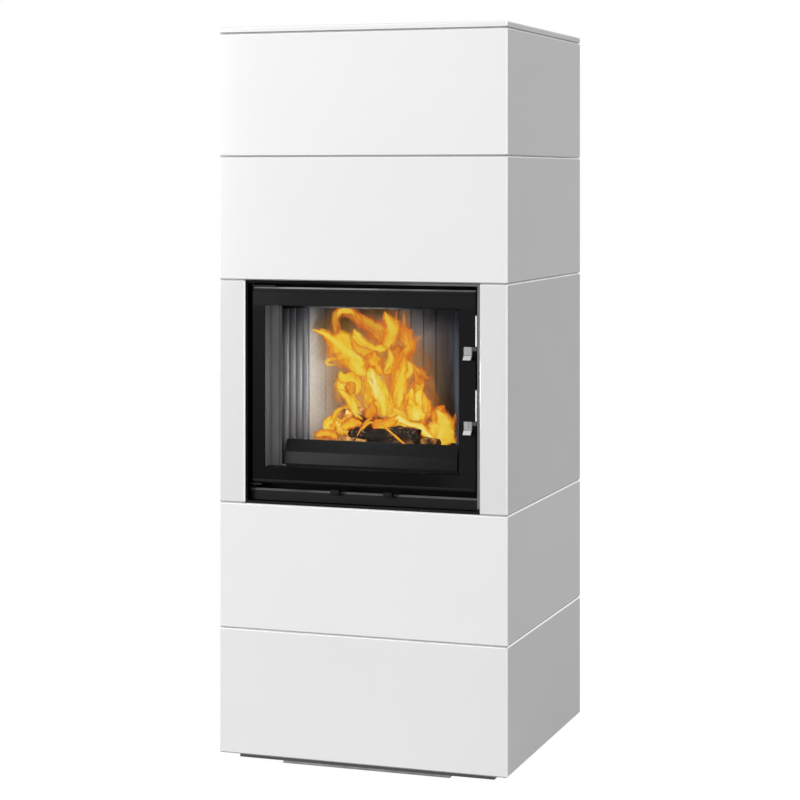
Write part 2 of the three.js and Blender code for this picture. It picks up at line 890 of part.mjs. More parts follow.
function addHinges() {
  const wall = -shellInner + contact;
  const front = hingeY - hingePlateWidth / 2;
  const back = hingeY + hingePlateWidth / 2;
  const upperLow = doorTop + contact;
  const upperHigh = upperLow + hingePlateThickness;
  addPiece('hinge_upper', joined(
    boxBetween([wall, front, upperLow], [wall + upperHingeReach, back, upperHigh]),
    boxBetween([wall, front, upperLow], [wall + hingeFootWidth, back, shellCeiling - contact]),
    rod(hingePinRadius, [hingeX, hingeY, doorTop - hingePinLength],
      [hingeX, hingeY, upperLow + overlapForJoin], 2),
  ), blackPaint);
  const lowerHigh = doorBottom - contact;
  const lowerLow = lowerHigh - hingePlateThickness;
  addPiece('hinge_lower', joined(
    boxBetween([wall, front, lowerLow], [wall + lowerHingeReach, back, lowerHigh]),
    boxBetween([wall, hingeY, lowerLow - lowerHingeFootDrop], [wall + hingeFootWidth, back, lowerHigh]),
    rod(hingePinRadius, [hingeX, hingeY, lowerHigh - overlapForJoin],
      [hingeX, hingeY, doorBottom + hingePinLength], 2),
  ), blackPaint);
}

// ---- latches: a lever on a stud in the door's edge, hooked behind a lug on the insert

const latchLeft = doorRight + latchSideClearance;
const latchRight = latchLeft + latchThickness;
const lugFront = latchPivotY + latchHookReach - latchHookTip - lugHookGap - lugWidth;

function latchSideShape(pivotZ) {
  const strapFront = doorRecess - tabStandOff - linkThickness / 2;
  const strapBack = strapFront + latchStrapWidth;
  const low = pivotZ - latchDrop;
  const high = pivotZ + latchTopRise;
  const hookBack = latchPivotY + latchHookReach;
  const shape = shapeOf([
    [strapFront, low],
    [strapBack, low],
    [strapBack, pivotZ - latchWebDrop],
    [latchPivotY + latchArmWidth / 2, pivotZ - latchHookDepth - latchArmWidth],
    [latchPivotY + latchHeadRadius, pivotZ - latchHookDepth],
    [hookBack, pivotZ - latchHookDepth],
    [hookBack, pivotZ + latchHookRise],
    [hookBack - latchHookTip, pivotZ + latchHookRise],
    [hookBack - latchHookTip, pivotZ - latchUnderLug],
    [latchPivotY + latchHeadRadius, pivotZ - latchUnderLug],
    ...arcPoints(latchPivotY, pivotZ, latchHeadRadius, 0, Math.PI / 2, pinSteps / 4),
    [latchPivotY, pivotZ + latchHeadRadius],
    [strapFront + latchTopCorner, high],
    [strapFront, high - latchTopCorner],
  ]);
  const bore = latchPinRadius + pinClearance;
  shape.holes.push(shapeOf(arcPoints(latchPivotY, pivotZ, bore, 0, 2 * Math.PI, pinSteps)));
  return shape;
}

function latchTabShape(pivotZ) {
  const tabY = doorRecess - tabStandOff;
  const front = tabY - tabThickness / 2;
  const back = tabY + tabThickness / 2;
  const high = pivotZ - latchDrop + linkHeight;
  const bend = high - tabUpright;
  const low = bend - tabFlare;
  const slant = tabThickness * (tabFlareOut / tabFlare);
  return shapeOf([
    [front, bend],
    [front - tabFlareOut, low],
    [front - tabFlareOut + slant, low - tabThickness / 2],
    [back, bend - tabThickness / 2],
    [back, high],
    [front, high],
  ]);
}

function addLatch(name, index) {
  const z = latchPivotHeight(index);
  const tabY = doorRecess - tabStandOff;
  const tabRight = doorRight - (tabReach - tabWidth);
  const low = z - latchDrop;
  addPiece(`${name}_latch_lever`, joined(
    barAlongX(latchSideShape(z), latchLeft, latchRight),
    boxBetween(
      [tabRight - overlapForJoin, tabY - linkThickness / 2, low],
      [latchRight, tabY + linkThickness / 2, low + linkHeight],
    ),
    barAlongX(latchTabShape(z), tabRight - tabWidth, tabRight),
  ), chromeSteel);
  addPiece(`${name}_latch_stud`, joined(
    rod(latchPinRadius, [doorRight - latchPinSink, latchPivotY, z],
      [latchRight + contact + latchPinHead / 2, latchPivotY, z], 0),
    rod(latchPinHeadRadius, [latchRight + contact, latchPivotY, z],
      [latchRight + contact + latchPinHead, latchPivotY, z], 0),
  ), bareSteel);
  const wall = shellInner - contact;
  const lugLow = z + lugLift - latchUnderLug + contact;
  addPiece(`${name}_catch`, joined(
    boxBetween([latchLeft, lugFront, lugLow], [wall, lugFront + lugWidth, lugLow + lugHeight]),
    boxBetween(
      [wall - catchPlateThickness, lugFront - catchPlateFront, lugLow],
      [wall, lugFront + lugWidth + catchPlateBack, lugLow + catchPlateHeight],
    ),
  ), bareSteel);
}

addCladding();
addTopPlate();
addBase();
addRearPanel();
addShell();
addSockets();
addSeat();
addApron();
addAirSlides();
addChamber();
addHeatStore();
addDoorFrame();
addPane();
addGasket();
addHinges();
addLatch('upper', 0);
addLatch('lower', 1);

export default stove;
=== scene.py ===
# Tiled stove: finishes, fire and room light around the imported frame.
# Metres, +Z up, the stove faces -Y.
import bpy
import bmesh
import json
import math
import random
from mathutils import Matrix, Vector, noise

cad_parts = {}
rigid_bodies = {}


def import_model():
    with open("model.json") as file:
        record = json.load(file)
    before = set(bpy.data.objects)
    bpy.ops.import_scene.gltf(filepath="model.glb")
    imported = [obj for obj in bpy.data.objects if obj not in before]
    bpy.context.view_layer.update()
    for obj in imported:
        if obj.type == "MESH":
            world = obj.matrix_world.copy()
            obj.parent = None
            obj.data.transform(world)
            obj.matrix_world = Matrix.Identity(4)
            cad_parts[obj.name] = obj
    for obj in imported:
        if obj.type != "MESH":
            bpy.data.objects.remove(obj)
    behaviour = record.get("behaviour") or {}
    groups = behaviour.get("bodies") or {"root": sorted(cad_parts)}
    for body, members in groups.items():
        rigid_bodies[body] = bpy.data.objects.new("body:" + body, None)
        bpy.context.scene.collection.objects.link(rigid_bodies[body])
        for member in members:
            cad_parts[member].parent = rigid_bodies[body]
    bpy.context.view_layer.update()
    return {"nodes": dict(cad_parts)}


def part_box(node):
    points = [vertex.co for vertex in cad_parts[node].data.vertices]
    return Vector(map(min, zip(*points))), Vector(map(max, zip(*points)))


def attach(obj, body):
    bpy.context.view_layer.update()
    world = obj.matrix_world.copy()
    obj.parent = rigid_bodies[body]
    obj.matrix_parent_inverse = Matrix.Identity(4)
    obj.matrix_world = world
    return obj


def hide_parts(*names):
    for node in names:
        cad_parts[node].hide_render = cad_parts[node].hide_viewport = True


for leftover in list(bpy.data.objects):
    bpy.data.objects.remove(leftover)

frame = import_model()
nodes = frame["nodes"]
scene = bpy.context.scene
print("frame loaded:", len(nodes), "nodes")

backOfTiles = -0.333  # y of the tile fronts, so that local depths read from there
tileFronts = Vector((0, backOfTiles, 0))


# camera at the photo's place: level, so that the uprights stay upright

cameraSettings = {
    "place": (1.6339, -4.7897, 1.2706),
    "turn": 19.102,
    "lens": 100.185,
    "shiftY": -0.2770,
}


def addCamera(settings):
    data = bpy.data.cameras.new("camera")
    data.sensor_width = 36
    data.lens = settings["lens"]
    data.shift_y = settings["shiftY"]
    data.clip_end = 60
    camera = bpy.data.objects.new("camera", data)
    camera.location = settings["place"]
    camera.rotation_euler = (math.radians(90), 0, math.radians(settings["turn"]))
    scene.collection.objects.link(camera)
    scene.camera = camera


addCamera(cameraSettings)
print("camera placed")


# node helpers

wiring = {}  # holds the node tree in hand


def newMaterial(name):
    material = bpy.data.materials.new(name)
    material.use_nodes = True
    wiring["tree"] = material.node_tree
    return material, material.node_tree.nodes["Principled BSDF"]


def addNode(kind, **values):
    made = wiring["tree"].nodes.new(kind)
    for key, value in values.items():
        setattr(made, key, value)
    return made


def feed(socket, value):
    if isinstance(value, bpy.types.NodeSocket):
        wiring["tree"].links.new(value, socket)
    else:
        socket.default_value = value


def calc(operation, first, second=0.0, clamp=False):
    made = addNode("ShaderNodeMath", operation=operation, use_clamp=clamp)
    feed(made.inputs[0], first)
    feed(made.inputs[1], second)
    return made.outputs[0]


def times(first, second, clamp=False):
    return calc("MULTIPLY", first, second, clamp)


def plus(first, second, clamp=False):
    return calc("ADD", first, second, clamp)


def minus(first, second):
    return calc("SUBTRACT", first, second)


def larger(first, second):
    return calc("MAXIMUM", first, second)


# two patterns laid over each other
def together(first, second, firstShare):
    return plus(times(first, firstShare), times(second, 1 - firstShare))


def remap(value, low, high, toLow=0.0, toHigh=1.0, smooth=True):
    made = addNode("ShaderNodeMapRange", interpolation_type="SMOOTHSTEP" if smooth else "LINEAR")
    sockets = {"Value": value, "From Min": low, "From Max": high, "To Min": toLow, "To Max": toHigh}
    for socket, number in sockets.items():
        feed(made.inputs[socket], number)
    return made.outputs["Result"]


# a cloud's middle values, spread from low to high
def vary(pattern, low=0.0, high=1.0):
    return remap(pattern, 0.3, 0.7, low, high)


# from one value to another across a soft edge
def stepAt(value, edge, soft, below=0.0, above=1.0):
    return remap(value, edge - soft, edge + soft, below, above)


def insideSpan(value, low, high, soft):
    return times(stepAt(value, low, soft), stepAt(value, high, soft, 1.0, 0.0))


# a pattern that swings evenly below and above nothing
def waver(pattern, reach):
    return times(minus(pattern, 0.5), reach)


def place(scale=(1, 1, 1)):
    coords = addNode("ShaderNodeTexCoord")
    mapping = addNode("ShaderNodeMapping")
    mapping.inputs["Scale"].default_value = scale
    feed(mapping.inputs["Vector"], coords.outputs["Object"])
    return mapping.outputs["Vector"]


def cloud(where, scale, detail=4.0, roughness=0.5, distortion=0.0):
    made = addNode("ShaderNodeTexNoise")
    feed(made.inputs["Vector"], where)
    looks = {"Scale": scale, "Detail": detail, "Roughness": roughness, "Distortion": distortion}
    for socket, number in looks.items():
        made.inputs[socket].default_value = number
    return made.outputs["Fac"]


def blendColours(share, first, second, blend="MIX"):
    made = addNode("ShaderNodeMix", data_type="RGBA", blend_type=blend)
    feed(made.inputs["Factor"], share)
    feed(made.inputs["A"], first)
    feed(made.inputs["B"], second)
    return made.outputs["Result"]


def ramp(share, stops, stepped=False):
    made = addNode("ShaderNodeValToRGB")
    feed(made.inputs["Fac"], share)
    line = made.color_ramp
    line.interpolation = "CONSTANT" if stepped else "LINEAR"
    while len(line.elements) < len(stops):
        line.elements.new(0.5)
    for element, (position, colour) in zip(line.elements, stops):
        element.position = position
        element.color = colour
    return made.outputs["Color"]


def split(value):
    parts = addNode("ShaderNodeSeparateXYZ")
    feed(parts.inputs["Vector"], value)
    return parts.outputs["X"], parts.outputs["Y"], parts.outputs["Z"]


# across, depth and height on the stove
def splitPlace():
    return split(addNode("ShaderNodeTexCoord").outputs["Object"])


# colour and shine, and a roughness that is one number or follows a pattern between two
def dress(shader, colour, settings, pattern=None):
    dull = settings["roughness"]
    feed(shader.inputs["Base Color"], colour)
    feed(shader.inputs["Roughness"], dull if pattern is None else vary(pattern, *dull))
    shader.inputs["Specular IOR Level"].default_value = settings["shine"]


def bumpFrom(shader, height, depth):
    made = addNode("ShaderNodeBump")
    made.inputs["Strength"].default_value = 1.0
    made.inputs["Distance"].default_value = depth
    feed(made.inputs["Height"], height)
    feed(shader.inputs["Normal"], made.outputs["Normal"])


# finishes of the cladding and the steel

glaze = {
    "light": (0.872, 0.873, 0.871, 1),
    "shade": (0.858, 0.859, 0.857, 1),
    # painted highlight on the tile edges, and painted shade on the edges that face down
    "arrisHighlight": (0.995, 0.995, 0.995, 1),
    "underArrisShade": (0.330, 0.330, 0.330, 1),
    "arrisShine": 0.92,
    "arrisFlatness": (0.93, 0.98),
    "arrisFacing": (-0.35, -0.20),
    "driftScale": 2.2,
    "roughness": (0.41, 0.435),
    "sheenScale": 9,
    "shine": 0.30,
    "coat": 0.30,
    "coatRoughness": 0.08,
    "rippleScale": 70,
    "rippleDepth": 0.00006,
    "height": 1.6,
    # each firing comes out a little lighter or darker: height of the joint, tone above it
    "firings": [(0.0, 0.985), (0.293, 1.030), (0.566, 0.915), (1.050, 1.020), (1.318, 1.045)],
    "meanFiring": 1.035,
}


# painted highlight on the tile edges that face sideways or up, and painted shade on those that face down
def arrisLightAndShade(settings):
    facing = split(addNode("ShaderNodeNewGeometry").outputs["True Normal"])
    sides = [calc("ABSOLUTE", part) for part in facing]
    flat = larger(larger(sides[0], sides[1]), sides[2])
    edge = remap(flat, *settings["arrisFlatness"], 1.0, 0.0, False)
    over = remap(facing[2], *settings["arrisFacing"], 0.0, 1.0, False)
    return times(edge, over), times(edge, minus(1.0, over))


def glazedTile(settings):
    material, shader = newMaterial("glazedTile")
    where = place()
    drift = vary(cloud(where, settings["driftScale"], 3))
    colour = blendColours(drift, settings["shade"], settings["light"])
    height = splitPlace()[2]
    full, mean = settings["height"], settings["meanFiring"]
    tone = ramp(calc("DIVIDE", height, full), [
        (level / full, (share / mean, share / mean, share / mean, 1))
        for level, share in settings["firings"]], True)
    colour = blendColours(1.0, colour, tone, "MULTIPLY")
    arrisHighlight, undersideShade = arrisLightAndShade(settings)
    # painted shade on the down-facing edges, then painted highlight on the others
    colour = blendColours(undersideShade, colour, settings["underArrisShade"])
    colour = blendColours(arrisHighlight, colour, settings["arrisHighlight"])
    dress(shader, colour, settings, cloud(where, settings["sheenScale"], 3))
    feed(shader.inputs["Metallic"], times(arrisHighlight, settings["arrisShine"]))
    shader.inputs["Coat Weight"].default_value = settings["coat"]
    shader.inputs["Coat Roughness"].default_value = settings["coatRoughness"]
    bumpFrom(shader, cloud(where, settings["rippleScale"], 2), settings["rippleDepth"])
    return material


paints = {
    "doorPaint": {"light": (0.0100, 0.0100, 0.0104, 1), "shade": (0.0072, 0.0072, 0.0076, 1),
                  "roughness": (0.38, 0.48), "shine": 0.07},
    "basePaint": {"light": (0.0600, 0.0600, 0.0620, 1), "shade": (0.0450, 0.0450, 0.0470, 1),
                  "roughness": (0.46, 0.56), "shine": 0.40},
    "fluePaint": {"light": (0.0340, 0.0340, 0.0350, 1), "shade": (0.0230, 0.0230, 0.0240, 1),
                  "roughness": (0.56, 0.66), "shine": 0.35},
    "hingePaint": {"light": (0.0070, 0.0070, 0.0072, 1), "shade": (0.0045, 0.0045, 0.0047, 1),
                   "roughness": (0.46, 0.56), "shine": 0.12},
    "slideBlack": {"light": (0.0040, 0.0040, 0.0042, 1), "shade": (0.0026, 0.0026, 0.0028, 1),
                   "roughness": (0.32, 0.42), "shine": 0.08},
}
paintGrain = {
    "patchScale": 14,
    "grainScale": 900,
    "patchShare": 0.6,
    "relief": 0.00004,
}
# painted highlights on the door's top bevel and the apron's bevel, and on the stile's inner face, in x, y
# and height
bevelHighlights = {
    "colour": (0.540, 0.540, 0.550, 1),
    "apronBevel": (0.5934, 0.5978),
    "apronShare": 0.24,
    "doorTopBevel": (1.0318, 1.0352),
    "doorTopShares": (0.62, 1.00, 0.42),
    "leftFade": (-0.25, -0.16),
    "rightFade": (-0.06, 0.24),
    "bevelBack": -0.3090,
    "soft": 0.0003,
    "reveal": (-0.2275, -0.2258),
    "revealFront": -0.3128,
    "revealHighlight": (0.165, 0.165, 0.167, 1),
}
shellSteel = {
    "black": (0.0014, 0.0014, 0.0015, 1),
    "grey": (0.1900, 0.1900, 0.1950, 1),
    "greySpan": (-0.10, 0.27),
    "mouthDepth": -0.3290,
    "sill": 0.5760,
    "sillColour": (0.0120, 0.0120, 0.0124, 1),
    "roughness": (0.46, 0.58),
    "shine": 0.04,
}
seatSteel = {
    "black": (0.0012, 0.0012, 0.0013, 1),
    "grey": (0.3200, 0.3200, 0.3230, 1),
    "litGrey": (0.6400, 0.6400, 0.6440, 1),
    "edgeHighlightColour": (0.640, 0.640, 0.645, 1),
    "litFrom": 0.2096,
    "edgeHighlight": (0.2204, 0.2218),
    "sootAndShadeFrom": -0.195,
    "sootShade": 0.04,
    "frontDepth": -0.2767,
    "edgeShade": 0.22,
    "halfWidth": 0.2400,
    "heights": (0.632, 1.008),
    "soft": 0.0008,
    "roughness": (0.5, 0.62),
    "shine": 0.05,
}


# sprayed stove paint: a fine dry grain over the steel
def paintShares():
    where = place()
    patches = cloud(where, paintGrain["patchScale"], 4)
    grain = cloud(where, paintGrain["grainScale"], 2)
    share = remap(together(patches, grain, paintGrain["patchShare"]), 0.35, 0.65)
    return share, patches, grain


# painted highlights on the door's and the apron's bevels
def paintedBevelHighlights(colour, patches, settings):
    across, depth, height = splitPlace()
    soft = settings["soft"]
    left, middle, right = settings["doorTopShares"]
    topShare = calc("MINIMUM", remap(across, *settings["leftFade"], left, middle), remap(
        across, *settings["rightFade"], middle, right))
    apronEdge = times(insideSpan(height, *settings["apronBevel"], soft), settings["apronShare"])
    doorEdge = times(insideSpan(height, *settings["doorTopBevel"], soft), topShare)
    back = settings["bevelBack"]
    front = remap(depth, back, back + 0.0005, 1.0, 0.0)
    bright = times(times(larger(doorEdge, apronEdge), front), vary(patches, 0.55, 1.0))
    colour = blendColours(bright, colour, settings["colour"])
    # painted highlight: the stile's inner face, seen through the pane, is lightened to grey
    reveal = settings["revealFront"]
    inner = times(insideSpan(across, *settings["reveal"], 0.0002), remap(depth, reveal, reveal + 0.0004))
    return blendColours(inner, colour, settings["revealHighlight"])


def sprayedPaint(name, settings):
    material, shader = newMaterial(name)
    share, patches, grain = paintShares()
    colour = blendColours(share, settings["shade"], settings["light"])
    # the door's paint gets painted highlights on its bevels
    if name == "doorPaint":
        colour = paintedBevelHighlights(colour, patches, bevelHighlights)
    dress(shader, colour, settings, patches)
    bumpFrom(shader, grain, paintGrain["relief"])
    return material


# painted light: the shell's front rim is lightened to grey towards the right, black elsewhere, and dark
# grey below the sill
def shellSheet(settings):
    material, shader = newMaterial("shellPaint")
    share, patches, grain = paintShares()
    across, depth, height = splitPlace()
    mouth, sill = settings["mouthDepth"], settings["sill"]
    rim = remap(depth, mouth, mouth + 0.001, 1.0, 0.0)
    # painted light: the rim is lightened to grey across greySpan, above the sill
    paintedLightRim = times(rim, remap(across, *settings["greySpan"]))
    paintedLightRim = times(paintedLightRim, remap(height, sill, sill + 0.004))
    paintedLightShare = times(paintedLightRim, remap(share, 0.0, 1.0, 0.75, 1.0))
    front = blendColours(paintedLightShare, settings["black"], settings["grey"])
    underSill = times(rim, stepAt(height, sill, 0.001, 1.0, 0.0))
    colour = blendColours(underSill, front, settings["sillColour"])
    dress(shader, colour, settings, patches)
    bumpFrom(shader, grain, paintGrain["relief"])
    return material


# painted shade: the seat is black outside the rope's line, where the gaps round the door lie in shade, and
# grey steel inside it, lighter at both sides as painted light
def seatSheet(settings):
    material, shader = newMaterial("seatPaint")
    share, patches, grain = paintShares()
    across, depth, height = splitPlace()
    half, soft = settings["halfWidth"], settings["soft"]
    inside = times(insideSpan(across, -half, half, soft), insideSpan(height, *settings["heights"], soft))
    # soot and painted shade: all of it but the hinge side is darkened, and it is darker along its front
    # edge
    smokeAndShade, front = settings["sootAndShadeFrom"], settings["frontDepth"]
    inside = times(inside, remap(across, smokeAndShade, smokeAndShade + 0.004, 1.0, settings["sootShade"]))
    inside = times(inside, remap(depth, front + 0.0001, front + 0.0004, 1.0, settings["edgeShade"]))
    grey = times(inside, remap(share, 0.0, 1.0, 0.8, 1.0))
    aside = calc("ABSOLUTE", across)
    steel = blendColours(stepAt(
        aside, settings["litFrom"], 0.0006), settings["grey"], settings["litGrey"])
    # painted shade: black outside the rope's line
    colour = blendColours(grey, settings["black"], steel)
    # painted highlight: a light line runs up both sides beside the rope
    edgeHighlight = times(insideSpan(aside, *settings["edgeHighlight"], 0.0003), inside)
    colour = blendColours(edgeHighlight, colour, settings["edgeHighlightColour"])
    dress(shader, colour, settings, patches)
    bumpFrom(shader, grain, paintGrain["relief"])
    return material


metals = {
    "floorSteel": {"light": (0.20, 0.20, 0.205, 1), "shade": (0.12, 0.12, 0.125, 1),
                   "roughness": (0.46, 0.58), "shine": 0.5, "stretch": (1, 40, 1)},
    "bareSteel": {"light": (0.52, 0.52, 0.53, 1), "shade": (0.34, 0.34, 0.35, 1),
                  "roughness": (0.28, 0.40), "shine": 0.5, "stretch": (1, 1, 30)},
}
for side in ("upper", "lower"):
    metals[side + "Chrome"] = {
        "light": (0.56, 0.56, 0.57, 1), "shade": (0.40, 0.40, 0.41, 1), "roughness": (0.22, 0.34),
        "shine": 0.5, "stretch": (12, 1, 0.6), "lever": side + "_latch_lever",
    }
metalMarks = {
    "scale": 60,
    "patchScale": 25,
    "relief": 0.00003,
}

# painted reflection and shade on a lever: its finger tab is darker than its strap, a bright flare lies at
# the tab's foot, and the web between them is dark
leverReflections = {
    "tabEdge": 0.2455,
    "webEdge": 0.2510,
    "flareHigh": 0.0098,
    "webHigh": 0.0300,
    "soft": 0.0003,
    "tabColour": (0.200, 0.200, 0.204, 1),
    "flareColour": (0.700, 0.700, 0.710, 1),
    "webColour": (0.050, 0.050, 0.052, 1),
}


def paintedLeverReflections(colour, lever, settings):
    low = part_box(lever)[0]
    across, depth, height = splitPlace()
    soft = settings["soft"]
    web = stepAt(across, settings["webEdge"], soft, 1.0, 0.0)
    web = larger(web, stepAt(height, low.z + settings["webHigh"], 2 * soft, 1.0, 0.0))
    tab = stepAt(across, settings["tabEdge"], soft, 1.0, 0.0)
    flare = times(tab, stepAt(height, low.z + settings["flareHigh"], soft, 1.0, 0.0))
    colour = blendColours(web, colour, settings["webColour"])
    colour = blendColours(tab, colour, settings["tabColour"])
    return blendColours(flare, colour, settings["flareColour"])


# brushed or drawn metal, with the marks along one way
def drawnMetal(name, settings):
    material, shader = newMaterial(name)
    marks = cloud(place(settings["stretch"]), metalMarks["scale"], 5, 0.6)
    patches = cloud(place(), metalMarks["patchScale"], 3)
    share = vary(together(marks, patches, 0.6))
    colour = blendColours(share, settings["shade"], settings["light"])
    if "lever" in settings:
        # the latch levers get painted reflections and shade
        colour = paintedLeverReflections(colour, settings["lever"], leverReflections)
    dress(shader, colour, settings, marks)
    shader.inputs["Metallic"].default_value = 1.0
    bumpFrom(shader, marks, metalMarks["relief"])
    return material


# door pane: clear in the middle, black enamel fired on round the edge

pane = {
    "enamel": (0.0024, 0.0024, 0.0026, 1),
    "enamelReflection": (0.0125, 0.0125, 0.0130, 1),
    "tint": (0.010, 0.010, 0.011, 1),
    "clearAcross": (-0.2266, 0.2190),
    "clearHeight": (0.6447, 0.9955),
    "edge": 0.0006,
    "clearAlpha": 0.07,
    "haze": 0.03,
    "reflectionTop": (0.99, 1.00),
    "reflectionRight": (0.14, 0.23),
    "reflectionShare": 0.65,
    "roughness": (0.14, 0.20),
    "shine": 0.05,
}


def doorPane(settings):
    material, shader = newMaterial("doorPane")
    across, depth, height = splitPlace()
    clear = times(insideSpan(across, *settings["clearAcross"], settings["edge"]), insideSpan(
        height, *settings["clearHeight"], settings["edge"]))
    streaks = cloud(place((1, 1, 0.3)), 6, 5, 0.6)
    haze = remap(streaks, 0.35, 0.8, settings["clearAlpha"], settings["clearAlpha"] + settings["haze"])
    # painted reflection: the enamel is a little greyer along the top and towards the lock side
    reflection = larger(remap(height, *settings["reflectionTop"]), remap(
        across, *settings["reflectionRight"], 0.0, settings["reflectionShare"]))
    enamel = blendColours(reflection, settings["enamel"], settings["enamelReflection"])
    dress(shader, blendColours(clear, enamel, settings["tint"]), settings, streaks)
    feed(shader.inputs["Alpha"], plus(minus(1.0, clear), times(clear, haze), True))
    return material


# linings, hearth, and the soot and painted shade on them

brick = {
    "firebrick": {"light": (0.82, 0.76, 0.66, 1), "shade": (0.70, 0.65, 0.56, 1)},
    "slab": {"light": (0.72, 0.68, 0.62, 1), "shade": (0.60, 0.56, 0.51, 1)},
    "storeStone": {"light": (0.36, 0.31, 0.26, 1), "shade": (0.27, 0.23, 0.19, 1)},
}
brickGrain = {
    "patchScale": 11,
    "gritScale": 420,
    "patchShare": 0.65,
    "roughness": (0.86, 0.96),
    "shine": 0.12,
    "relief": 0.0004,
}
# soot and painted shade on the linings and the back
sootAndShade = {
    "colour": (0.037, 0.042, 0.062, 1),
    "black": (0.007, 0.007, 0.008, 1),
    "smokeAndShade": (0.400, 0.500, 0.680, 1),
    "smokeAndShadeFrom": 0.0295,
    "smokeAndShadeShare": 0.88,
    "up": (0.905, 1.005),
    "upShare": 0.84,
    "upDrift": 0.12,
    "wispScale": 9,
    "right": (0.056, 0.138),
    "rightShare": 0.97,
    "rightDrift": 0.05,
    "blackFrom": (0.008, 0.092),
    "blackAbove": (0.912, 0.972),
    "blackShare": 0.80,
}


# soot and painted shade: darker towards the top and towards the lock side
def sootAndShadeShare(settings):
    across, depth, height = splitPlace()
    wisps = cloud(place((1, 1, 0.35)), settings["wispScale"], 5, 0.6, 0.6)
    lift = plus(height, waver(wisps, settings["upDrift"]))
    aside = plus(across, waver(wisps, settings["rightDrift"]))
    return larger(remap(lift, *settings["up"], 0.0, settings["upShare"]), remap(
        aside, *settings["right"], 0.0, settings["rightShare"]))


# soot and painted shade: the panels at the lock side are tinted grey-blue, a darkening towards the top and
# the lock side lies over that, and their top corner is near black
def sootedAndShaded(colour, settings):
    across, depth, height = splitPlace()
    grey = stepAt(across, settings["smokeAndShadeFrom"], 0.001, 0.0, settings["smokeAndShadeShare"])
    colour = blendColours(grey, colour, settings["smokeAndShade"])
    colour = blendColours(sootAndShadeShare(settings), colour, settings["colour"])
    corner = times(remap(across, *settings["blackFrom"], 0.0, settings["blackShare"]), remap(
        height, *settings["blackAbove"]))
    return blendColours(corner, colour, settings["black"])


def bakedBrick(name, settings, sooty):
    material, shader = newMaterial(name)
    where = place()
    patches = cloud(where, brickGrain["patchScale"], 5, 0.6)
    grit = cloud(where, brickGrain["gritScale"], 3)
    share = remap(together(patches, grit, brickGrain["patchShare"]), 0.35, 0.65)
    colour = blendColours(share, settings["shade"], settings["light"])
    if sooty:
        colour = sootedAndShaded(colour, sootAndShade)
    dress(shader, colour, brickGrain, patches)
    bumpFrom(shader, grit, brickGrain["relief"])
    return material


iron = {
    "light": (0.370, 0.364, 0.370, 1),
    "shade": (0.280, 0.275, 0.280, 1),
    "metal": 0.35,
    "roughness": (0.52, 0.90),
    "shine": 0.12,
    "streakScale": 60,
    "grainScale": 260,
    "relief": 0.00025,
    "brickFrom": -0.1875,
    "fluteFrom": -0.2567,
    "flutePitch": 0.01736,
    "paintedShadeColour": (0.055, 0.055, 0.060, 1),
    "paintedShadeRise": (0.14, 0.50, 0.0, 0.52),
    "paintedShadeEnd": (0.0, 0.07, 0.60, 0.0),
    "stripShare": 0.72,
}
guard = {
    "light": (0.018, 0.018, 0.0186, 1),
    "shade": (0.011, 0.011, 0.0115, 1),
    # painted light: a lighter band on the guard, from band at the left to bandDark at the right
    "band": (0.066, 0.066, 0.068, 1),
    "bandDark": (0.018, 0.018, 0.0186, 1),
    "bandHeights": (0.6480, 0.6735),
    "bandFade": (-0.19, 0.19),
    "bandSoft": 0.0012,
    "grainScale": 240,
    "roughness": (0.48, 0.66),
    "shine": 0.06,
    "relief": 0.0003,
}


def liningIron(settings):
    material, shader = newMaterial("liningIron")
    streaks = cloud(place((1, 1, 0.12)), settings["streakScale"], 5, 0.6)
    grain = cloud(place(), settings["grainScale"], 3)
    share = vary(together(streaks, grain, 0.7))
    colour = blendColours(share, settings["shade"], settings["light"])
    # painted shade on each flute, growing from its front flank to its crest and staying over its back
    # flank, darkest at its foot, and over the front strip
    depth = splitPlace()[1]
    ridge = calc("FRACT", calc("DIVIDE", minus(depth, settings["fluteFrom"]), settings["flutePitch"]))
    paintedShade = larger(remap(ridge, *settings["paintedShadeRise"]), remap(ridge, *settings["paintedShadeEnd"]))
    stripShade = stepAt(depth, settings["fluteFrom"], 0.0015, settings["stripShare"], 0.0)
    colour = blendColours(larger(paintedShade, stripShade), colour, settings["paintedShadeColour"])
    # behind the flutes the lining is a plain brick slab
    slab = stepAt(depth, settings["brickFrom"], 0.0004)
    fired = blendColours(remap(grain, 0.35, 0.65), brick["slab"]["shade"], brick["slab"]["light"])
    colour = sootedAndShaded(blendColours(slab, colour, fired), sootAndShade)
    feed(shader.inputs["Base Color"], colour)
    feed(shader.inputs["Roughness"], remap(slab, 0.0, 1.0, *settings["roughness"], False))
    feed(shader.inputs["Metallic"], remap(
        larger(slab, sootAndShadeShare(sootAndShade)), 0.0, 1.0, settings["metal"], 0.0, False))
    shader.inputs["Specular IOR Level"].default_value = settings["shine"]
    bumpFrom(shader, grain, settings["relief"])
    return material


def guardIron(settings):
    material, shader = newMaterial("guardIron")
    across, depth, height = splitPlace()
    grain = cloud(place(), settings["grainScale"], 4)
    colour = blendColours(vary(grain), settings["shade"], settings["light"])
    # painted light: a lighter band across the guard, fading from left to right
    band = blendColours(remap(across, *settings["bandFade"]), settings["band"], settings["bandDark"])
    paintedLightShare = insideSpan(height, *settings["bandHeights"], settings["bandSoft"])
    dress(shader, blendColours(paintedLightShare, colour, band), settings, grain)
    bumpFrom(shader, grain, settings["relief"])
    return material


# each node gets its finish, and the sharp sheet edges are eased a little

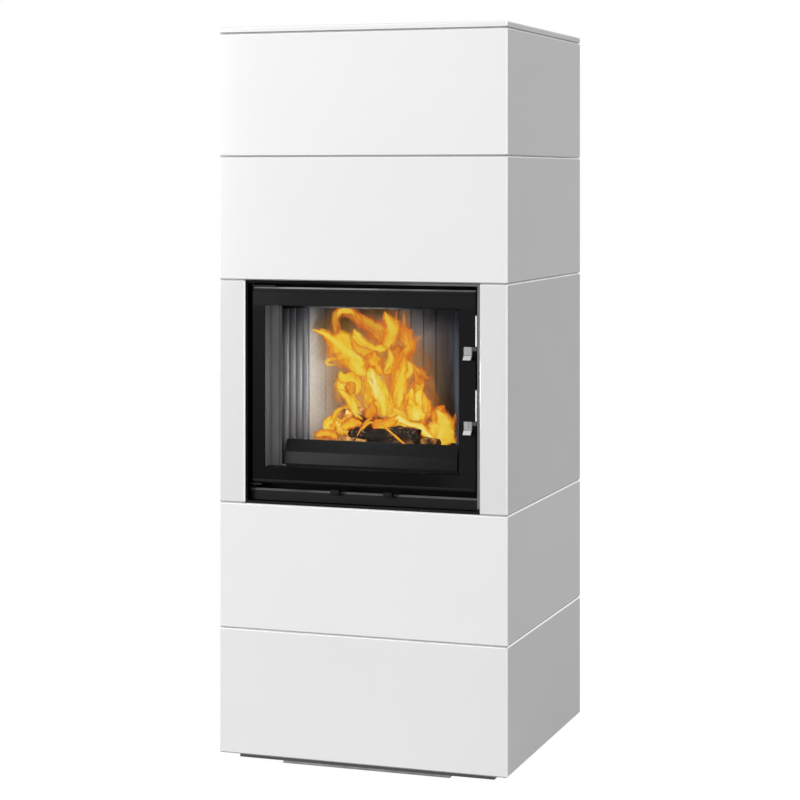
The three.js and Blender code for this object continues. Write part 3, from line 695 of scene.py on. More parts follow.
# finish, width of its eased edges (0 leaves them sharp), how the names of its nodes start
nodeFinishes = [
    ("glazedTile", 0.0034, "tile_"),
    ("glazedTile", 0.0022, "top_plate"),
    ("basePaint", 0.0006, "base_plate"),
    ("basePaint", 0, "stand_"),
    ("floorSteel", 0.0006, "floor_plate"),
    ("fluePaint", 0.0005, "rear_panel"),
    ("fluePaint", 0, "flue_pipe"),
    ("shellPaint", 0.0005, "insert_"),
    ("seatPaint", 0, "door_seat_", "door_gasket"),
    ("doorPaint", 0.0006, "door_rail_", "door_stile_", "apron"),
    ("hingePaint", 0.0004, "hinge_"),
    ("doorPane", 0, "door_glass"),
    ("upperChrome", 0.0006, "upper_latch_lever"),
    ("lowerChrome", 0.0006, "lower_latch_lever"),
    ("bareSteel", 0, "upper_", "lower_", "air_inlet_pipe"),
    ("slideBlack", 0.0010, "primary_air_slide", "secondary_air_slide"),
    ("liningIron", 0, "lining_left", "lining_right"),
    ("firebrick", 0, "lining_back"),
    ("firebrick", 0.0012, "hearth_slab"),
    ("firebrick", 0.0015, "baffle"),
    ("guardIron", 0.0020, "log_guard"),
    ("storeStone", 0.0020, "heat_"),
]
easing = {
    "weld": 0.00002,
    "steps": 2,
    "angle": 25,
}

finishes = {name: sprayedPaint(name, settings) for name, settings in paints.items()}
finishes.update({name: drawnMetal(name, settings) for name, settings in metals.items()})
finishes["shellPaint"] = shellSheet(shellSteel)
finishes["seatPaint"] = seatSheet(seatSteel)
finishes["glazedTile"] = glazedTile(glaze)
finishes["doorPane"] = doorPane(pane)
finishes["firebrick"] = bakedBrick("firebrick", brick["firebrick"], True)
finishes["storeStone"] = bakedBrick("storeStone", brick["storeStone"], False)
finishes["liningIron"] = liningIron(iron)
finishes["guardIron"] = guardIron(guard)
print("finishes mixed")


def smoothAllGroup():
    group = bpy.data.node_groups.new("smoothAll", "GeometryNodeTree")
    for way in ("INPUT", "OUTPUT"):
        group.interface.new_socket("Geometry", in_out=way, socket_type="NodeSocketGeometry")
    entry = group.nodes.new("NodeGroupInput")
    shade = group.nodes.new("GeometryNodeSetShadeSmooth")
    leave = group.nodes.new("NodeGroupOutput")
    group.links.new(entry.outputs[0], shade.inputs["Geometry"])
    group.links.new(shade.outputs["Geometry"], leave.inputs[0])
    return group


smoothAll = smoothAllGroup()


def easeEdges(piece, width, settings):
    weld = piece.modifiers.new("weld", "WELD")
    weld.merge_threshold = settings["weld"]
    bevel = piece.modifiers.new("bevel", "BEVEL")
    bevel.width = width
    bevel.segments = settings["steps"]
    bevel.limit_method = "ANGLE"
    bevel.angle_limit = math.radians(settings["angle"])
    smooth = piece.modifiers.new("smooth", "NODES")
    smooth.node_group = smoothAll
    weighted = piece.modifiers.new("weighted", "WEIGHTED_NORMAL")
    weighted.keep_sharp = False


def finishNode(name, piece):
    for finish, width, *starts in nodeFinishes:
        if name.startswith(tuple(starts)):
            piece.data.materials.clear()
            piece.data.materials.append(finishes[finish])
            if width:
                easeEdges(piece, width, easing)
            return


for name, piece in nodes.items():
    finishNode(name, piece)
print("nodes finished")


# mesh helpers for the pieces made here

def addPiece(name, points, faces, material, body, sharpAngle=None):
    mesh = bpy.data.meshes.new(name)
    mesh.from_pydata(points, [], faces)
    mesh.update()
    mesh.materials.append(material)
    mesh.polygons.foreach_set("use_smooth", [True] * len(mesh.polygons))
    if sharpAngle:
        mesh.set_sharp_from_angle(angle=math.radians(sharpAngle))
    piece = bpy.data.objects.new(name, mesh)
    scene.collection.objects.link(piece)
    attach(piece, body)
    return piece


# faces between rings of points, and the same with both ends closed
def ringFaces(rings, sides, base=0):
    faces = []
    for ring in range(rings):
        here, there = base + ring * sides, base + (ring + 1) * sides
        for side in range(sides):
            after = (side + 1) % sides
            faces.append((here + side, here + after, there + after, there + side))
    return faces


def rodFaces(rings, sides):
    ends = [tuple(reversed(range(sides))), tuple(range(rings * sides, (rings + 1) * sides))]
    return ringFaces(rings, sides) + ends


def gridFaces(rows, columns, base=0):
    wide = columns + 1
    corners = [base + row * wide + column for row in range(rows) for column in range(columns)]
    return [(here, here + 1, here + wide + 1, here + wide) for here in corners]


def layMap(piece, name, marks):
    layer = piece.data.uv_layers.new(name=name)
    for index, mark in enumerate(marks):
        layer.data[index].uv = mark


# side linings: half-round flutes standing on a plate, splayed towards the back

linings = {
    "innerFront": -0.2140,
    "innerBack": -0.1180,
    "thick": 0.0292,
    "flutes": 4,
    "stripShare": 0.055,
    "flutedShare": 0.425,
    "fluteSteps": 14,
    "fluteHeight": 0.0080,
    "slabJoints": (0.425, 0.66, 0.89),
    "jointHalf": 0.006,
    "jointDepth": 0.0028,
    # along and down the groove between two bricks
    "jointProfile": ((-1, 0.0), (-0.4, 1.0), (0.4, 1.0), (1, 0.0)),
    "topEase": 0.0015,
}


def liningOutline(front, back, settings):
    frontInner, backInner = Vector((settings["innerFront"], front)), Vector((settings["innerBack"], back))
    thick = Vector((settings["thick"], 0))
    along = backInner - frontInner
    out = Vector((along.y, -along.x)).normalized()
    points = [frontInner]
    total = settings["flutes"] * settings["fluteSteps"]
    fluted = settings["flutedShare"] - settings["stripShare"]
    for step in range(total):
        phase = (step % settings["fluteSteps"]) / settings["fluteSteps"]
        rise = settings["fluteHeight"] * math.sin(phase * math.pi)
        share = settings["stripShare"] + fluted * step / total
        points.append(frontInner + along * share + out * rise)
    for joint in settings["slabJoints"]:
        for shift, sink in settings["jointProfile"]:
            share = joint + shift * settings["jointHalf"]
            points.append(frontInner + along * share - out * settings["jointDepth"] * sink)
    return points + [backInner, backInner - thick, frontInner - thick]


def addLining(side, settings):
    name = "lining_" + side
    low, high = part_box(name)
    outline = liningOutline(low.y, high.y, settings)
    if side == "right":
        outline = [Vector((-point.x, point.y)) for point in reversed(outline)]
    ease = settings["topEase"]
    levels = [(low.z, 1.0), (low.z + ease, 0.0), (high.z - ease, 0.0), (high.z, 1.0)]
    middle = sum(outline, Vector((0, 0))) / len(outline)
    points = []
    for height, share in levels:
        for point in outline:
            inward = (middle - point).normalized() * ease * share
            points.append((point.x + inward.x, point.y + inward.y, height))
    faces = rodFaces(len(levels) - 1, len(outline))
    piece = addPiece("flutedLining_" + side, points, faces, finishes["liningIron"], "cabinet", 40)
    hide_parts(name)


for side in ("left", "right"):
    addLining(side, linings)
print("linings fluted")


# small pan-head screws hold the rear panel along both its upright edges
screws = {
    "radius": 0.0046,
    "rise": 0.0019,
    "inset": 0.013,
    "endGap": 0.045,
    "inRow": 7,
    "sides": 32,
    "profile": [(1.0, 0.0), (1.0, 0.45), (0.90, 0.80), (0.70, 1.0), (0.52, 1.0), (0.46, 1.0), (0.16, 1.0)],
    "slotReach": 0.5,
    "slotDepth": 0.55,
}


def addScrews(settings):
    low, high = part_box("rear_panel")
    first, last = low.z + settings["endGap"], high.z - settings["endGap"]
    rings, sides = len(settings["profile"]), settings["sides"]
    points, faces = [], []
    for x in (low.x + settings["inset"], high.x - settings["inset"]):
        for index in range(settings["inRow"]):
            z = first + (last - first) * index / (settings["inRow"] - 1)
            start = len(points)
            for reach, rise in settings["profile"]:
                for side in range(sides):
                    angle = 2 * math.pi * side / sides
                    slot = reach < settings["slotReach"] and abs(math.cos(2 * angle)) > 0.9
                    lift = settings["rise"] * (settings["slotDepth"] if slot else rise)
                    points.append((x + settings["radius"] * reach * math.cos(angle), high.y + lift,
                                   z + settings["radius"] * reach * math.sin(angle)))
            rim = ringFaces(rings - 1, sides, start)
            faces += [(one, four, three, two) for one, two, three, four in rim]
            inner = start + (rings - 1) * sides
            faces.append(tuple(inner + side for side in reversed(range(sides))))
            faces.append(tuple(start + side for side in range(sides)))
    addPiece("panelScrews", points, faces, finishes["bareSteel"], "cabinet", 40)


addScrews(screws)
print("rear panel screwed on")


# rope gasket behind the door frame: a knitted round rope pressed a little flat

rope = {
    "colour": (0.060, 0.058, 0.055, 1),
    "strandColour": (0.125, 0.120, 0.112, 1),
    "halfWide": 0.0050,
    "cornerRadius": 0.020,
    "sides": 14,
    "stepLength": 0.0024,
    "strandRise": 0.00035,
    "strandsAround": 6,
    "twistLength": 0.016,
    "fuzzScale": 700,
    "roughness": 0.95,
    "shine": 0.2,
    "relief": 0.0006,
}


def knittedRope(settings):
    material, shader = newMaterial("knittedRope")
    around, along = split(addNode("ShaderNodeUVMap").outputs["UV"])[:2]
    first = calc("SINE", plus(around, along))
    second = calc("SINE", minus(around, along))
    fuzz = remap(cloud(place(), settings["fuzzScale"], 3), 0.2, 0.8, 0.5, 1.0)
    share = times(remap(larger(first, second), -0.6, 1.0), fuzz)
    colour = blendColours(share, settings["colour"], settings["strandColour"])
    dress(shader, colour, settings)
    bumpFrom(shader, share, settings["relief"])
    return material


# points and outward normals round a rectangle with round corners, in x and z
def roundedLoop(low, high, radius, step):
    corners = [
        (low.x + radius, low.z + radius, 180), (high.x - radius, low.z + radius, 270),
        (high.x - radius, high.z - radius, 0), (low.x + radius, high.z - radius, 90),
    ]
    path = []
    arcSteps = max(6, int(radius * math.pi / 2 / step))
    for index, (x, z, start) in enumerate(corners):
        for part in range(arcSteps + 1):
            angle = math.radians(start + 90 * part / arcSteps)
            path.append((Vector((x + radius * math.cos(angle), z + radius * math.sin(angle))),
                         Vector((math.cos(angle), math.sin(angle)))))
        nextX, nextZ, nextStart = corners[(index + 1) % 4]
        angle = math.radians(nextStart)
        target = Vector((nextX + radius * math.cos(angle), nextZ + radius * math.sin(angle)))
        last, normal = path[-1]
        runs = max(2, int((target - last).length / step))
        path += [(last.lerp(target, run / runs), normal) for run in range(1, runs)]
    return path


def addRope(settings):
    low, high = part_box("door_gasket")
    halfWide, halfDeep = settings["halfWide"], (high.y - low.y) / 2
    middleY = (low.y + high.y) / 2
    inset = Vector((halfWide, 0, halfWide))
    path = roundedLoop(low + inset, high - inset, settings["cornerRadius"], settings["stepLength"])
    rings, sides = len(path), settings["sides"]
    travelled = [0.0]
    for index in range(rings):
        step = (path[(index + 1) % rings][0] - path[index][0]).length
        travelled.append(travelled[-1] + step)
    turns = round(travelled[-1] / settings["twistLength"])
    turned = [2 * math.pi * turns * length / travelled[-1] for length in travelled]
    knits = math.pi * settings["strandsAround"]
    points, marks = [], []
    for (spot, normal), turn in zip(path, turned):
        for side in range(sides):
            angle = 2 * math.pi * side / sides
            knot = math.sin(settings["strandsAround"] * angle / 2 + turn)
            shrink = 1 - settings["strandRise"] * (1 - knot) / halfWide
            wide = halfWide * math.cos(angle) * shrink
            deep = halfDeep * math.sin(angle) * shrink
            points.append((spot.x + normal.x * wide, middleY + deep, spot.y + normal.y * wide))
    for along, alongNext in zip(turned, turned[1:]):
        for side in range(sides):
            around, aroundNext = (knits * end / sides for end in (side, side + 1))
            marks += [(around, along), (aroundNext, along), (aroundNext, alongNext), (around, alongNext)]
    faces = [[corner % len(points) for corner in face] for face in ringFaces(rings, sides)]
    piece = addPiece("ropeSeal", points, faces, knittedRope(settings), "door")
    layMap(piece, "ropeMap", marks)
    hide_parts("door_gasket")


addRope(rope)
print("rope laid")


# the fire: split logs on a bed of embers, and flames over them

fire = {
    "charDark": (0.007, 0.005, 0.003, 1),
    "charGrey": (0.034, 0.023, 0.014, 1),
    "ash": (0.36, 0.31, 0.24, 1),
    "woodLight": (0.84, 0.42, 0.12, 1),
    "woodDark": (0.54, 0.20, 0.045, 1),
    "glowDeep": (0.90, 0.06, 0.005, 1),
    "glowBright": (1.0, 0.34, 0.03, 1),
    "glowStrength": 1.5,
    "crackScale": 75,
    "crackWidth": 0.07,
    "patchScale": 22,
    "grainScale": 120,
    "speckScale": 210,
    "speckSpan": (0.60, 0.67, 0.0, 0.85),
    "ashScale": 30,
    "ashSpan": (0.46, 0.60),
    "hotScale": 16,
    "hotSpan": (0.55, 0.70),
    "burntSpan": (0.40, 0.26),
    "burntShift": 0.30,
    "roughness": 0.9,
    "shine": 0.2,
    "relief": 0.0022,
}


def charredLog(name, woodShare, glowShare, settings):
    material, shader = newMaterial(name)
    where = place()
    cells = addNode("ShaderNodeTexVoronoi", feature="DISTANCE_TO_EDGE")
    feed(cells.inputs["Vector"], where)
    cells.inputs["Scale"].default_value = settings["crackScale"]
    crack = remap(cells.outputs["Distance"], 0.0, settings["crackWidth"])
    patches = cloud(where, settings["patchScale"], 5, 0.6)
    grain = cloud(place((0.25, 1.2, 1.2)), settings["grainScale"], 5, 0.65)
    wood = blendColours(vary(grain), settings["woodDark"], settings["woodLight"])
    char = blendColours(remap(patches, 0.35, 0.7), settings["charDark"], settings["charGrey"])
    specks = remap(cloud(where, settings["speckScale"], 2), *settings["speckSpan"])
    ash = remap(cloud(where, settings["ashScale"], 3), *settings["ashSpan"])
    ashen = blendColours(times(specks, ash), char, settings["ash"])
    low, high = (edge + settings["burntShift"] * woodShare for edge in settings["burntSpan"])
    burnt = times(remap(patches, low, high), woodShare)
    coals = remap(cloud(where, settings["hotScale"], 3), *settings["hotSpan"])
    hot = times(minus(1.0, crack), coals)
    dress(shader, blendColours(burnt, ashen, wood), settings)
    feed(shader.inputs["Emission Color"], blendColours(hot, settings["glowDeep"], settings["glowBright"]))
    feed(shader.inputs["Emission Strength"], times(hot, settings["glowStrength"] * glowShare))
    height = plus(times(crack, 0.7), times(grain, 0.5))
    bumpFrom(shader, height, settings["relief"])
    return material


# how much bare wood shows, and how much of it glows
logLooks = {
    "logChar": (0.06, 0.25),
    "logHalfBurnt": (0.44, 0.30),
    "logWood": (0.90, 0.10),
    "emberBed": (0.0, 1.6),
}
finishes.update({name: charredLog(name, *shares, fire) for name, shares in logLooks.items()})

# start and end as x, depth behind the tile fronts, height; then radius, finish and seed
logs = {
    "logRing": ((-0.084, 0.116, 0.752), (-0.036, 0.190, 0.722), 0.0170, "logWood", 3),
    "logBehind": ((-0.044, 0.118, 0.760), (0.020, 0.200, 0.702), 0.0130, "logHalfBurnt", 4),
    "logLeft": ((-0.146, 0.104, 0.696), (-0.040, 0.150, 0.706), 0.0185, "logWood", 5),
    "logCharred": ((-0.062, 0.128, 0.704), (0.066, 0.126, 0.706), 0.0235, "logChar", 8),
    "logHalf": ((0.026, 0.112, 0.708), (0.104, 0.104, 0.704), 0.0270, "logHalfBurnt", 13),
    "logRight": ((0.092, 0.106, 0.700), (0.142, 0.098, 0.696), 0.0155, "logWood", 21),
    "logUnderLeft": ((-0.088, 0.094, 0.689), (-0.022, 0.096, 0.688), 0.0150, "logWood", 34),
    "logBack": ((-0.100, 0.190, 0.676), (0.105, 0.188, 0.672), 0.0300, "logChar", 55),
    "logUnder": ((-0.120, 0.140, 0.664), (0.130, 0.140, 0.662), 0.0220, "logChar", 89),
}
bark = {
    "rings": 22,
    "sides": 26,
    "taper": 0.16,
    "rough": 0.16,
    "ridges": 0.10,
    "ragged": 0.012,
    # where the flat split begins, how deep it lies, and its least and its slope
    "splitFrom": -0.2,
    "splitDepth": 0.72,
    "splitLeast": 0.62,
    "splitSlope": 0.25,
}


# a quarter split: flat split faces, one round bark side, ends a little ragged
def addLog(name, start, end, radius, look, seed, settings):
    rings, sides = settings["rings"], settings["sides"]
    start, end = Vector(start) + tileFronts, Vector(end) + tileFronts
    along = (end - start).normalized()
    across = along.cross(Vector((0, 0, 1))).normalized()
    up = across.cross(along)
    turned = random.Random(seed).uniform(0, 2 * math.pi)
    shift = Vector((seed * 3.7, 0, 0))
    points = []
    for ring in range(rings + 1):
        share = ring / rings
        centre = start.lerp(end, share)
        taper = 1 - settings["taper"] * (2 * share - 1) ** 2
        for side in range(sides):
            angle = 2 * math.pi * side / sides
            wedge = 1.0
            if math.cos(angle) <= settings["splitFrom"]:
                slope = settings["splitSlope"] - math.cos(angle)
                wedge = settings["splitDepth"] / max(settings["splitLeast"], slope)
            direction = across * math.cos(angle + turned) + up * math.sin(angle + turned)
            spot = centre + direction * radius * wedge * taper
            rough = noise.fractal((spot + shift) * 38, 1.0, 2.2, 5) * settings["rough"]
            ridge = noise.noise(Vector((angle * 3.1, share * 1.5, seed))) * settings["ridges"]
            ragged = noise.noise(Vector((angle * 2.0, seed, ring // rings))) * settings["ragged"]
            push = ragged if ring in (0, rings) else 0.0
            points.append(spot + direction * radius * (rough + ridge) + along * push)
    addPiece(name, points, rodFaces(rings, sides), finishes[look], "cabinet", 50)


for name, values in logs.items():
    addLog(name, *values, bark)

embers = {
    "halfWidth": 0.158,
    "front": 0.094,
    "back": 0.228,
    "rise": 0.020,
    "overFloor": 0.0006,
    "bumps": 0.010,
    "narrowing": 0.22,
    "columns": 70,
    "rows": 34,
    "lumps": 54,
    "lumpSize": (0.006, 0.015),
    "seed": 17,
}


def addEmberBed(settings):
    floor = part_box("hearth_slab")[1].z
    centreY = (settings["front"] + settings["back"]) / 2 + backOfTiles
    halfDeep = (settings["back"] - settings["front"]) / 2
    mound = settings["rise"] * 0.6
    rows, columns = settings["rows"], settings["columns"]
    points = []
    for row in range(rows + 1):
        for column in range(columns + 1):
            u, v = 2 * column / columns - 1, 2 * row / rows - 1
            narrow = 1 - settings["narrowing"] * (v + 1) / 2
            x, y = u * settings["halfWidth"] * narrow, centreY + v * halfDeep
            share = max(0.0, 1 - u ** 4) * max(0.0, 1 - v ** 4)
            lump = noise.fractal(Vector((x, y, 0.3)) * 55, 1.0, 2.1, 4)
            height = floor + settings["overFloor"] + share * (mound + settings["bumps"] * (lump + 0.4))
            points.append((x, y, height))
    addPiece("emberBed", points, gridFaces(rows, columns), finishes["emberBed"], "cabinet")
    chance = random.Random(settings["seed"])
    solid = bmesh.new()
    for index in range(settings["lumps"]):
        size = chance.uniform(*settings["lumpSize"])
        spread = chance.uniform(-0.85, 0.85) * 0.86
        spot = Vector((
            spread * settings["halfWidth"],
            centreY + chance.uniform(-0.8, 0.7) * halfDeep,
            floor + mound + size * 0.5,
        ))
        made = bmesh.ops.create_icosphere(solid, subdivisions=3, radius=size)
        squash = Vector((chance.uniform(0.8, 1.5), chance.uniform(0.8, 1.3), chance.uniform(0.5, 0.8)))
        for vert in made["verts"]:
            bent = vert.co * squash
            chip = noise.fractal((bent + spot) * 90, 1.0, 2.1, 3) * size * 0.5
            vert.co = spot + bent + bent.normalized() * chip
    mesh = bpy.data.meshes.new("emberLumps")
    solid.to_mesh(mesh)
    solid.free()
    mesh.materials.append(finishes["emberBed"])
    piece = bpy.data.objects.new("emberLumps", mesh)
    scene.collection.objects.link(piece)
    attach(piece, "cabinet")


addEmberBed(embers)
print("logs and embers laid")


# flames: thin curling tongues along the paths below, with small licks between them

flames = {
    "curl": 1.20,
    "wisp": 0.60,
    "streak": 0.90,
    "spread": 2.05,
    "rows": 30,
    "columns": 10,
    "facing": (-0.15, 0.25),
    "twist": (-0.3, 0.3),
    "wander": (0.002, 0.006),
    "thinnest": 0.0008,
    "curlScale": 34,
    "wispScale": 110,
    "streaksAcross": 3.4,
    "streaksAlong": 1.8,
    "foot": (0.0, 0.24),
    "tip": (0.70, 1.0),
    "core": 1.15,
    "body": (0.12, 0.66),
    "rim": (0.0, 0.22),
    "bodyGlow": (0.16, 1.05, -0.12, 0.46),
    "streakGlow": 0.80,
    "heatShare": 0.11,
    "heatStep": 11,  # a tongue's map holds its heat times this, plus its thickness in tenths
    "seed": 29,
    # from the coolest to the hottest
    "heats": [
        (0.06, (0.640, 0.115, 0.020, 1)),
        (0.22, (0.800, 0.200, 0.024, 1)),
        (0.40, (0.880, 0.310, 0.026, 1)),
        (0.56, (0.920, 0.480, 0.034, 1)),
        (0.74, (0.940, 0.640, 0.050, 1)),
        (0.90, (0.960, 0.740, 0.110, 1)),
        (1.00, (0.980, 0.840, 0.300, 1)),
    ],
}
licks = {
    "count": 12,
    "across": (-0.120, 0.150),
    "depths": (0.130, 0.190),
    "low": 0.690,
    "high": 0.985,
    "footRise": 0.030,
    "tallest": 0.16,
    "wide": (0.006, 0.013),
    "lean": (-0.35, 0.15),
    "swing": (-0.03, 0.03),
    "heats": (0, 1, 1, 2, 3),
    "thick": 0.8,
    # the fire is highest left of the middle: place, width and height of each hump
    "humps": [(-0.03, 0.06, 1.0), (0.07, 0.05, 0.7)],
}
# laid in metres: depth behind the tile fronts, heat from 0 to 4, how thick it is, and a path of x,
# height and half width
laidTongues = {
    "twigEdge": (0.082, 2, 1.00, [
        (0.016, 0.740, 0.0018), (0.032, 0.728, 0.0020), (0.048, 0.717, 0.0020), (0.064, 0.706, 0.0020),
        (0.080, 0.694, 0.0020), (0.092, 0.686, 0.0016)]),
    "middleHaze": (0.185, 1, 0.30, [
        (0.030, 0.700, 0.040), (0.020, 0.760, 0.052), (0.012, 0.820, 0.050), (0.004, 0.880, 0.046),
        (0.000, 0.940, 0.030), (-0.004, 0.990, 0.012)]),
    "rightHaze": (0.182, 0, 0.14, [
        (0.090, 0.700, 0.026), (0.080, 0.760, 0.030), (0.070, 0.820, 0.026), (0.056, 0.880, 0.020),
        (0.050, 0.930, 0.008)]),
    "leftBackHaze": (0.184, 1, 0.20, [
        (-0.080, 0.720, 0.022), (-0.070, 0.770, 0.026), (-0.078, 0.820, 0.022), (-0.070, 0.870, 0.016),
        (-0.060, 0.920, 0.006)]),
}
# the other tongues were drawn over an enlarged piece of the photo
sketch = {
    "left": 300,  # where that piece begins in the photo
    "top": 300,
    "enlarged": 9.2235,
    "middle": 400,  # the photo's middle column, its horizon row and its lens, in pixels
    "horizon": 178.371,
    "lens": 2226.33,
    "width": 0.0002366,  # metres to a pixel of the enlarged piece
}
